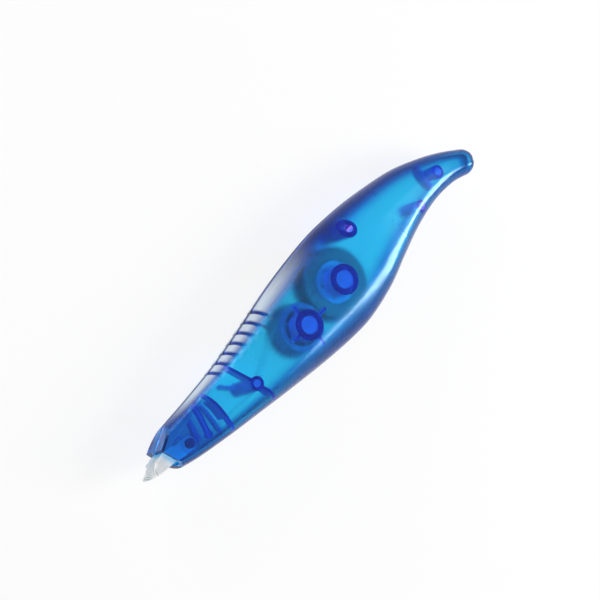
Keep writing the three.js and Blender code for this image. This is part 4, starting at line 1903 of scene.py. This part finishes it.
@dataclass(frozen=True)
class Gear:
    """A plate of gear teeth round a centre.

    Args:
        teeth: How many teeth it has.
        size: Pitch circle's diameter over the teeth.
        backlash: How much thinner each tooth is than its space.
        pressure: Pressure angle, in degrees.
        foot: How far a tooth goes below the pitch circle, in tooth sizes.
        sink: How far a tooth is sunk into the plate that carries it.
    """

    teeth: int
    size: float
    backlash: float = 0.16
    pressure: float = 20.0
    foot: float = 1.25
    sink: float = 0.15

    @property
    def pitch_radius(self) -> float:
        """Radius of the pitch circle."""
        return self.size * self.teeth / 2

    @property
    def root_radius(self) -> float:
        """Radius at the foot of the teeth."""
        return self.pitch_radius - self.foot * self.size

    def width_at(self, radius: float) -> float:
        """A tooth's width at a radius, on its involute flanks.

        Args:
            radius: Where it is measured.

        Returns:
            The width.
        """
        angle = math.radians(self.pressure)
        base = self.pitch_radius * math.cos(angle)
        here = math.acos(min(1.0, base / radius))
        half = math.pi / (2 * self.teeth) - self.backlash / (2 * self.pitch_radius)
        half += math.tan(angle) - angle - (math.tan(here) - here)
        return 2 * radius * math.sin(half)

    def solid(self, tree: Tree, low: float, high: float) -> Solid:
        """The teeth alone, round the origin.

        Args:
            tree: The tree that draws them.
            low: Height of their lower face.
            high: Height of their upper face.

        Returns:
            The teeth, which reach a little into their plate.
        """
        foot, tip = self.root_radius - self.sink, self.pitch_radius + self.size
        sizes = {
            "Teeth": self.teeth,
            "Root Radius": foot,
            "Height": tip - foot,
            "Root Width": self.width_at(self.root_radius),
            "Pitch Width": self.width_at(self.pitch_radius),
            "Tip Width": self.width_at(tip),
            "Low": low,
            "Thickness": high - low,
        }
        return tree.grown(sizes)


@dataclass(frozen=True)
class SupplyReel:
    """The full reel: a gear with its hub, the slip clutch, the spool, its roll and its flange.

    The web is the ring at the spool's top that the keys cut, edge is the size of all chamfers, and
    the wires are the turns that stand out on both sides of the roll.
    """

    layout: Layout
    roll_radius: float = 10.0
    core_wall: float = 1.1
    clutch: float = 0.8
    flange_lip: float = 0.3
    web: float = 0.8
    key_radius: float = 0.45
    keys: int = 6
    window_radius: float = 1.6
    windows: int = 6
    edge: float = 0.12
    wires: int = 9
    wire: float = 0.045
    wire_margin: float = 0.3

    def hole_ring(self, reach: float, radius: float, count: int, span: Point) -> list[Solid]:
        """Holes round the axis, half a step from the x axis.

        Args:
            reach: From the axis to their centres.
            radius: Of each hole.
            count: How many there are.
            span: Where they begin and end.

        Returns:
            What is cut out.
        """
        x, y = self.layout.supply_axis
        holes = []
        for i in range(count):
            turn = (i + 0.5) * 2 * math.pi / count + math.radians(self.layout.reel_line)
            spot = (x + reach * math.cos(turn), y + reach * math.sin(turn))
            holes.append(Solid.rod(spot, radius, *span, HOLE_SIDES))
        return holes

    def gear(self, tree: Tree) -> Solid:
        """The gear with its hub and windows.

        Args:
            tree: The tree that draws its teeth.

        Returns:
            The gear in its place.
        """
        lay = self.layout
        wheel = Gear(lay.supply_teeth, lay.tooth_size)
        root = wheel.root_radius
        profile = [
            (lay.bore, lay.gear_low), (root, lay.gear_low), (root, lay.gear_top),
            (lay.hub, lay.gear_top), (lay.hub, lay.tape_half + lay.gap),
            (lay.bore, lay.tape_half + lay.gap),
        ]
        teeth = wheel.solid(tree, lay.gear_low, lay.gear_top)
        teeth = teeth.rotated(lay.reel_line).moved(lay.supply_axis)
        plate = Solid.turned(chamfered(profile, self.edge), lay.supply_axis, GEAR_SIDES)
        reach = (lay.hub + wheel.pitch_radius) / 2
        span = (-BEYOND, lay.gear_top + FUSE)
        windows = self.hole_ring(reach, self.window_radius, self.windows, span)
        return plate.add(teeth).cut(*windows)

    def core(self) -> Solid:
        """The spool, with its lower flange and its keyed web.

        Returns:
            The spool in its place.
        """
        lay = self.layout
        inner = lay.hub + self.clutch + 2 * lay.gap
        outer = inner + self.core_wall
        low, top = -lay.flange_top, lay.tape_half
        web_inner = lay.hub + lay.gap
        rim = self.roll_radius + self.flange_lip
        profile = [
            (inner, low), (rim, low), (rim, low + lay.flange), (outer, low + lay.flange),
            (outer, top), (web_inner, top), (web_inner, top - self.web), (inner, top - self.web),
        ]
        spool = Solid.turned(chamfered(profile, self.edge), lay.supply_axis, SPOOL_SIDES)
        keys = self.hole_ring(inner - self.key_radius, self.key_radius, self.keys, (0, BEYOND))
        return spool.cut(*keys)

    def roll(self, windings: Tree) -> Solid:
        """The wound tape, with its turns raised on both sides.

        Args:
            windings: The tree that draws the turns.

        Returns:
            The roll in its place.
        """
        lay = self.layout
        inner = lay.hub + self.clutch + 3 * lay.gap + self.core_wall
        half = lay.tape_half
        profile = [(inner, -half), (self.roll_radius, -half), (self.roll_radius, half), (inner, half)]
        solid = Solid.turned(chamfered(profile, self.edge), lay.supply_axis, GEAR_SIDES)
        for level in (-half, half):
            sizes = {
                "Turns": self.wires,
                "Inner Radius": inner + self.wire_margin,
                "Outer Radius": self.roll_radius - self.wire_margin,
                "Wire": self.wire,
                "Level": level,
            }
            solid = solid.add(windings.grown(sizes).moved(lay.supply_axis))
        return solid

    def upper_flange(self) -> Solid:
        """The thin disc that keeps the tape on its spool.

        Returns:
            The disc in its place.
        """
        lay = self.layout
        inner, outer = lay.hub + 2 * lay.gap, self.roll_radius + self.flange_lip
        low, high = lay.flange_top - lay.flange, lay.flange_top
        profile = [(inner, low), (outer, low), (outer, high), (inner, high)]
        return Solid.turned(chamfered(profile, self.edge), lay.supply_axis, SPOOL_SIDES)

    def clutch_ring(self) -> Solid:
        """The rubber ring between the gear's hub and the spool.

        Returns:
            The ring in its place.
        """
        lay = self.layout
        tube = self.clutch / 2
        profile = circle((lay.hub + lay.gap + tube, 0), tube, TUBE_SIDES)
        return Solid.turned(profile, lay.supply_axis, CLUTCH_SIDES)

    def build(self, pen: PenFrame, looks: "Looks", trees: "Trees") -> None:
        """Makes the reel's pieces.

        Args:
            pen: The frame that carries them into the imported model.
            looks: The pen's finishes.
            trees: The geometry trees.
        """
        centre = tuple(pen.metres(self.layout.supply_axis)[:2])
        drive, reel = Body.DRIVE, Body.SUPPLY
        gear, ring, core = self.gear(trees.teeth), self.clutch_ring(), self.core()
        roll, disc = self.roll(trees.windings), self.upper_flange()
        film, flange = looks.roll(centre).material(), looks.flange.material()
        gear_look, rubber, core_look = (
            look.material() for look in (looks.gear, looks.rubber, looks.core)
        )
        pen.place("drive_gear", gear, gear_look, drive, "gear_blue", ("supply_gear",))
        pen.place("friction_ring", ring, rubber, drive, "clutch_rubber", ("clutch_ring",))
        pen.place("tape_spool", core, core_look, reel, "core_blue", ("supply_core",))
        pen.place("wound_tape", roll, film, reel, "tape_white", ("tape_roll",))
        pen.place("tape_flange", disc, flange, reel, "flange_clear", ("supply_flange",))


@dataclass(frozen=True)
class TakeUpReel:
    """The reel that winds the spent liner: a geared spool with six arms, and the wound liner."""

    layout: Layout
    core_radius: float = 6.2
    core_wall: float = 1.0
    liner_thickness: float = 0.4
    flange_lip: float = 0.3
    arm_width: float = 0.9
    arms: int = 6
    edge: float = 0.12

    @property
    def roll_radius(self) -> float:
        """Outer radius of the wound liner."""
        return self.core_radius + self.layout.gap + self.liner_thickness

    def spool(self, teeth_tree: Tree, spokes: Tree) -> Solid:
        """The geared spool.

        Args:
            teeth_tree: The tree that draws its teeth.
            spokes: The tree that draws its arms.

        Returns:
            The spool in its place.
        """
        lay = self.layout
        wheel = Gear(lay.take_up_teeth, lay.tooth_size)
        low, top, high = lay.gear_low, lay.gear_top, lay.flange_top
        root, wall = wheel.root_radius, self.core_radius - self.core_wall
        rim = self.roll_radius + self.flange_lip
        plate = [(lay.bore, low), (root, low), (root, top), (lay.bore, top)]
        hub = [(lay.bore, low + FUSE), (lay.hub, low + FUSE), (lay.hub, high), (lay.bore, high)]
        tube = [
            (wall, low + FUSE), (self.core_radius, low + FUSE), (self.core_radius, high - lay.flange),
            (rim, high - lay.flange), (rim, high), (wall, high),
        ]
        rings = [
            Solid.turned(chamfered(profile, self.edge), (0, 0), SPOOL_SIDES)
            for profile in (hub, tube)
        ]
        half_tooth = 180 / lay.take_up_teeth
        teeth = wheel.solid(teeth_tree, low, top).rotated(half_tooth)
        arm_sizes = {
            "Count": self.arms,
            "Inner Radius": lay.hub - FUSE,
            "Outer Radius": wall + FUSE,
            "Width": self.arm_width,
            "Low": top - FUSE,
            "High": high - lay.flange,
        }
        disc = Solid.turned(chamfered(plate, self.edge), (0, 0), GEAR_SIDES)
        whole = disc.add(teeth, *rings, spokes.grown(arm_sizes))
        return whole.rotated(180 + lay.reel_line).moved(lay.take_up_axis)

    def liner(self) -> Solid:
        """The spent liner on the spool.

        Returns:
            The liner in its place.
        """
        half = self.layout.tape_half
        inner, outer = self.core_radius + self.layout.gap, self.roll_radius
        profile = [(inner, -half), (outer, -half), (outer, half), (inner, half)]
        return Solid.turned(chamfered(profile, self.edge), self.layout.take_up_axis, SPOOL_SIDES)

    def build(self, pen: PenFrame, looks: "Looks", trees: "Trees") -> None:
        """Makes the reel's pieces.

        Args:
            pen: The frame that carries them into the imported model.
            looks: The pen's finishes.
            trees: The geometry trees.
        """
        spool = self.spool(trees.teeth, trees.spokes)
        gear = looks.spool.material()
        nodes = ("take_up_spool",)
        pen.place("liner_spool", spool, gear, Body.TAKE_UP, "gear_blue", nodes)
        centre = tuple(pen.metres(self.layout.take_up_axis)[:2])
        film = looks.wound_liner(centre).material()
        pen.place("wound_liner", self.liner(), film, Body.TAKE_UP, "liner", ("liner_roll",))


# The tape on its way


@dataclass(frozen=True)
class Wrap:
    """A circle that the film runs round, on its left (turn 1) or right (turn -1)."""

    centre: Point
    radius: float
    turn: int = 1


@dataclass(frozen=True)
class FilmPath:
    """Coated tape from the roll to the tip's edge, and its liner from there to the take-up reel.

    The coated tape ends on the circle whose number is edge_wrap. A bend has a point for each
    bend_step degrees.
    """

    layout: Layout
    roll_radius: float
    liner_radius: float
    film_gap: float = 0.2
    edge_wrap: int = 2
    bend_step: float = 6.0

    def wraps(self) -> list[Wrap]:
        """The circles on the film's way.

        Returns:
            The circles, from the full roll to the take-up reel.
        """
        lay = self.layout
        off = self.film_gap + lay.film / 2
        clear = lay.gap + lay.film / 2
        return [
            Wrap(lay.supply_axis, self.roll_radius + clear),
            Wrap(lay.blade_root, off),
            Wrap(lay.tip_edge.centre, lay.tip_edge.radius + off),
            Wrap(lay.tip_eye.centre, lay.tip_eye.radius + off),
            Wrap(lay.nose_post.centre, lay.nose_post.radius + off),
            Wrap(lay.take_up_axis, self.liner_radius + clear, -1),
        ]

    def lines(self) -> list[np.ndarray]:
        """The film's points round each circle, in order.

        Returns:
            One row of points for each circle.
        """
        wraps = self.wraps()
        headings = []
        for start, end in zip(wraps, wraps[1:]):
            way = np.subtract(end.centre, start.centre)
            swing = (end.turn * end.radius - start.turn * start.radius) / np.linalg.norm(way)
            headings.append(math.atan2(way[1], way[0]) - math.asin(swing))
        result = []
        for i, wrap in enumerate(wraps):
            arrive, leave = headings[max(i - 1, 0)], headings[min(i, len(headings) - 1)]
            swing = math.atan2(math.sin(leave - arrive), math.cos(leave - arrive))
            steps = math.ceil(abs(swing) / math.radians(self.bend_step))
            turn = arrive + swing * np.linspace(0, 1, steps + 1) if steps else np.array([arrive])
            side = np.stack([np.sin(turn), -np.cos(turn)], axis=1)
            result.append(np.array(wrap.centre) + wrap.turn * wrap.radius * side)
        return result

    def strip(self, points: np.ndarray, tree: Tree) -> Solid:
        """A strip of film along a line of points.

        Args:
            points: The line, as x and y.
            tree: The tree that draws the strip.

        Returns:
            The strip.
        """
        line = bpy.data.meshes.new("line")
        edges = [(i, i + 1) for i in range(len(points) - 1)]
        line.from_pydata([(x, y, 0.0) for x, y in points], edges, [])
        sizes = {"Width": 2 * self.layout.tape_half, "Thickness": self.layout.film}
        return tree.grown(sizes, line)

    def build(self, pen: PenFrame, looks: "Looks", trees: "Trees") -> None:
        """Makes both strips.

        Args:
            pen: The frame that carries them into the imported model.
            looks: The pen's finishes.
            trees: The geometry trees.
        """
        lines = self.lines()
        before = np.vstack(lines[: self.edge_wrap])
        edge = lines[self.edge_wrap][0]
        back = before[-1] - edge
        stop = edge + back / np.linalg.norm(back) * self.layout.gap
        tape = self.strip(np.vstack([before, stop]), trees.ribbon)
        liner = self.strip(np.vstack(lines[self.edge_wrap :]), trees.ribbon)
        tape_film, liner_film = looks.tape.material(), looks.liner.material()
        pen.place("tape_strip", tape, tape_film, Body.HOUSING, "tape_white", ("tape_run",))
        pen.place("liner_strip", liner, liner_film, Body.HOUSING, "liner", ("liner_run",))


# Finishes of this pen


@dataclass(frozen=True)
class Looks:
    """Every finish of the pen."""

    tip: ClearPlastic = ClearPlastic(
        name="frosted_clear_plastic",
        tint=(0.95, 0.95, 0.94),
        shade=(0.6, 0.61, 0.62),
        body=(0.86, 0.86, 0.86),
        density=60.0,
        roughness=0.3,
        scuff=0.12,
        shadow=(0.85, 0.85, 0.86),
        haze=0.75,
        cloud_mm=1.8,
    )
    flange: ClearPlastic = ClearPlastic(
        name="clear_flange_plastic",
        tint=(0.9, 0.95, 0.98),
        shade=(0.84, 0.92, 0.97),
        body=(0.5, 0.8, 0.95),
        density=120.0,
        roughness=0.1,
        scuff=0.08,
        shadow=(0.85, 0.9, 0.95),
    )
    gear: MouldedPlastic = MouldedPlastic("gear_blue_plastic", (0.01, 0.1, 0.34), (0.01, 0.08, 0.27))
    spool: MouldedPlastic = MouldedPlastic("spool_blue_plastic", (0.01, 0.1, 0.3), (0.01, 0.08, 0.25))
    core: MouldedPlastic = MouldedPlastic("core_blue_plastic", (0.01, 0.3, 0.55), (0.01, 0.24, 0.48))
    rubber: MouldedPlastic = MouldedPlastic(
        "clutch_rubber", (0.02, 0.02, 0.022), (0.035, 0.035, 0.04), 0.6, 0.12, 0.01
    )
    tape: ThinFilm = ThinFilm("coated_tape", (0.78, 0.82, 0.82), (0.68, 0.73, 0.74), 0.55, 0.4)
    liner: ThinFilm = ThinFilm("bare_liner", (0.6, 0.68, 0.7), (0.5, 0.6, 0.64), 0.24, 0.25)

    def roll(self, centre: tuple[float, float]) -> WoundFilm:
        """The full roll's finish."""
        return WoundFilm("wound_tape_film", centre, (0.01, 0.11, 0.17), (0.008, 0.08, 0.13))

    def wound_liner(self, centre: tuple[float, float]) -> WoundFilm:
        """The spent liner's finish."""
        return WoundFilm("wound_liner_film", centre, (0.02, 0.17, 0.34), (0.015, 0.12, 0.25), 0.2)


class Trees:
    """The geometry trees, each with the finish that its result starts with."""

    def __init__(self) -> None:
        """Builds every tree once."""
        bare = Surface("bare").material
        self.teeth = tooth_tree(bare)
        self.spokes = spoke_tree(bare)
        self.windings = winding_tree(bare)
        self.ribbon = ribbon_tree(bare)


# Floor, light and camera


@dataclass(frozen=True)
class Softbox:
    """A soft lamp.

    Args:
        name: Its name.
        towards: Direction from the pen to the lamp.
        distance: How far away it stands, in metres.
        width: Its width, in metres.
        height: Its height, in metres.
        power: Its power, in watts.
    """

    name: str
    towards: Triple
    distance: float
    width: float
    height: float
    power: float

    def build(self) -> None:
        """Sets the lamp up."""
        light = bpy.data.lights.new(self.name, "AREA")
        light.shape, light.size, light.size_y = "RECTANGLE", self.width, self.height
        light.energy = self.power
        lamp = bpy.data.objects.new(self.name, light)
        lamp.location = Vector(self.towards).normalized() * self.distance
        lamp.rotation_euler = (-lamp.location).to_track_quat("-Z", "Y").to_euler()
        bpy.context.scene.collection.objects.link(lamp)


@dataclass(frozen=True)
class Studio:
    """A plain pale floor, soft lamps and the photograph's camera."""

    back: Triple = (-0.4568, 0.2034, 0.8660)
    right: Triple = (0.6179, -0.6278, 0.4733)
    target: Triple = (0.00097, 0.00351, 0.009)
    field: float = 0.1697
    distance: float = 3.0
    sensor: float = 36.0
    floor_size: float = 12.0
    floor_level: float = -0.0001
    sky: float = 0.06
    shadow_share: float = 0.16
    lamps: tuple[Softbox, ...] = (
        Softbox("right_softbox", (0.63, -0.605, 0.487), 0.7, 0.2, 0.34, 4.6),
        Softbox("wide_softbox", (0.65, -0.56, 0.514), 0.75, 0.4, 0.5, 1.7),
        Softbox("camera_softbox", (-0.457, 0.203, 0.866), 0.9, 0.45, 0.45, 2.6),
        Softbox("top_softbox", (-0.02, 0.98, 0.24), 0.5, 0.28, 0.3, 1.35),
    )

    def seen_directly(self, graph: Graph) -> Value:
        """1 where the camera sees a surface itself, in a mirror or through clear plastic.

        Args:
            graph: The tree in which it is asked.

        Returns:
            From 0 to 1.
        """
        path = graph.node("ShaderNodeLightPath")
        ways = ("Camera", "Glossy", "Transmission")
        camera, glossy, through = (Value(graph, path.outputs[f"Is {way} Ray"]) for way in ways)
        return (camera + glossy + through).math("MINIMUM", 1.0)

    def floor(self) -> None:
        """The floor, which shows white and keeps a soft shadow."""
        bpy.ops.mesh.primitive_plane_add(size=self.floor_size, location=(0, 0, self.floor_level))
        plane = bpy.context.object
        plane.name = "floor"
        s = Surface("pale_floor")
        matte = s.value("ShaderNodeBsdfDiffuse", {}, {"Color": rgba(0.9, 0.9, 0.9)})
        white = s.value("ShaderNodeEmission", {}, {"Color": rgba(1.0, 1.0, 1.0), "Strength": 1.0})
        share = self.seen_directly(s) * (1 - self.shadow_share)
        plane.data.materials.append(s.finish(s.mixed(share, matte, white)))

    def world(self) -> None:
        """A plain sky that lights softly and shows white."""
        world = bpy.data.worlds.new("studio_sky")
        bpy.context.scene.world = world
        world.use_nodes = True
        world.node_tree.nodes.clear()
        g = Graph(world.node_tree)
        soft = g.value("ShaderNodeBackground", {}, {"Color": rgba(0.95, 0.97, 1.0), "Strength": self.sky})
        white = g.value("ShaderNodeBackground", {}, {"Color": rgba(1.0, 1.0, 1.0), "Strength": 1.0})
        shader = g.value("ShaderNodeMixShader", {}, {0: self.seen_directly(g), 1: soft, 2: white})
        g.node("ShaderNodeOutputWorld", {}, {"Surface": shader})

    def camera(self) -> None:
        """A long lens at the photograph's viewing angle."""
        data = bpy.data.cameras.new("camera")
        data.sensor_width = self.sensor
        data.lens = self.sensor * self.distance / self.field
        data.clip_start, data.clip_end = 0.01, 20.0
        camera = bpy.data.objects.new("camera", data)
        back = Vector(self.back).normalized()
        right = Vector(self.right)
        right = (right - back * right.dot(back)).normalized()
        turn = Matrix((right, back.cross(right), back)).transposed()
        place = Vector(self.target) + back * self.distance
        camera.matrix_world = Matrix.Translation(place) @ turn.to_4x4()
        bpy.context.scene.collection.objects.link(camera)
        bpy.context.scene.camera = camera

    def build(self) -> None:
        """Sets up the whole studio."""
        bpy.context.scene.view_settings.view_transform = "Standard"
        self.floor()
        self.world()
        self.camera()
        for lamp in self.lamps:
            lamp.build()


def main() -> None:
    """Builds the studio and every piece of the pen."""
    logging.basicConfig(level=logging.INFO, format="%(name)s: %(message)s")
    layout, looks, trees = Layout(), Looks(), Trees()
    pen = PenFrame(layout)
    Studio().build()
    supply, take_up = SupplyReel(layout), TakeUpReel(layout)
    Case(layout).build(pen)
    Tip(layout).build(pen, looks.tip)
    supply.build(pen, looks, trees)
    take_up.build(pen, looks, trees)
    FilmPath(layout, supply.roll_radius, take_up.roll_radius).build(pen, looks, trees)


if __name__ == "__main__":
    main()
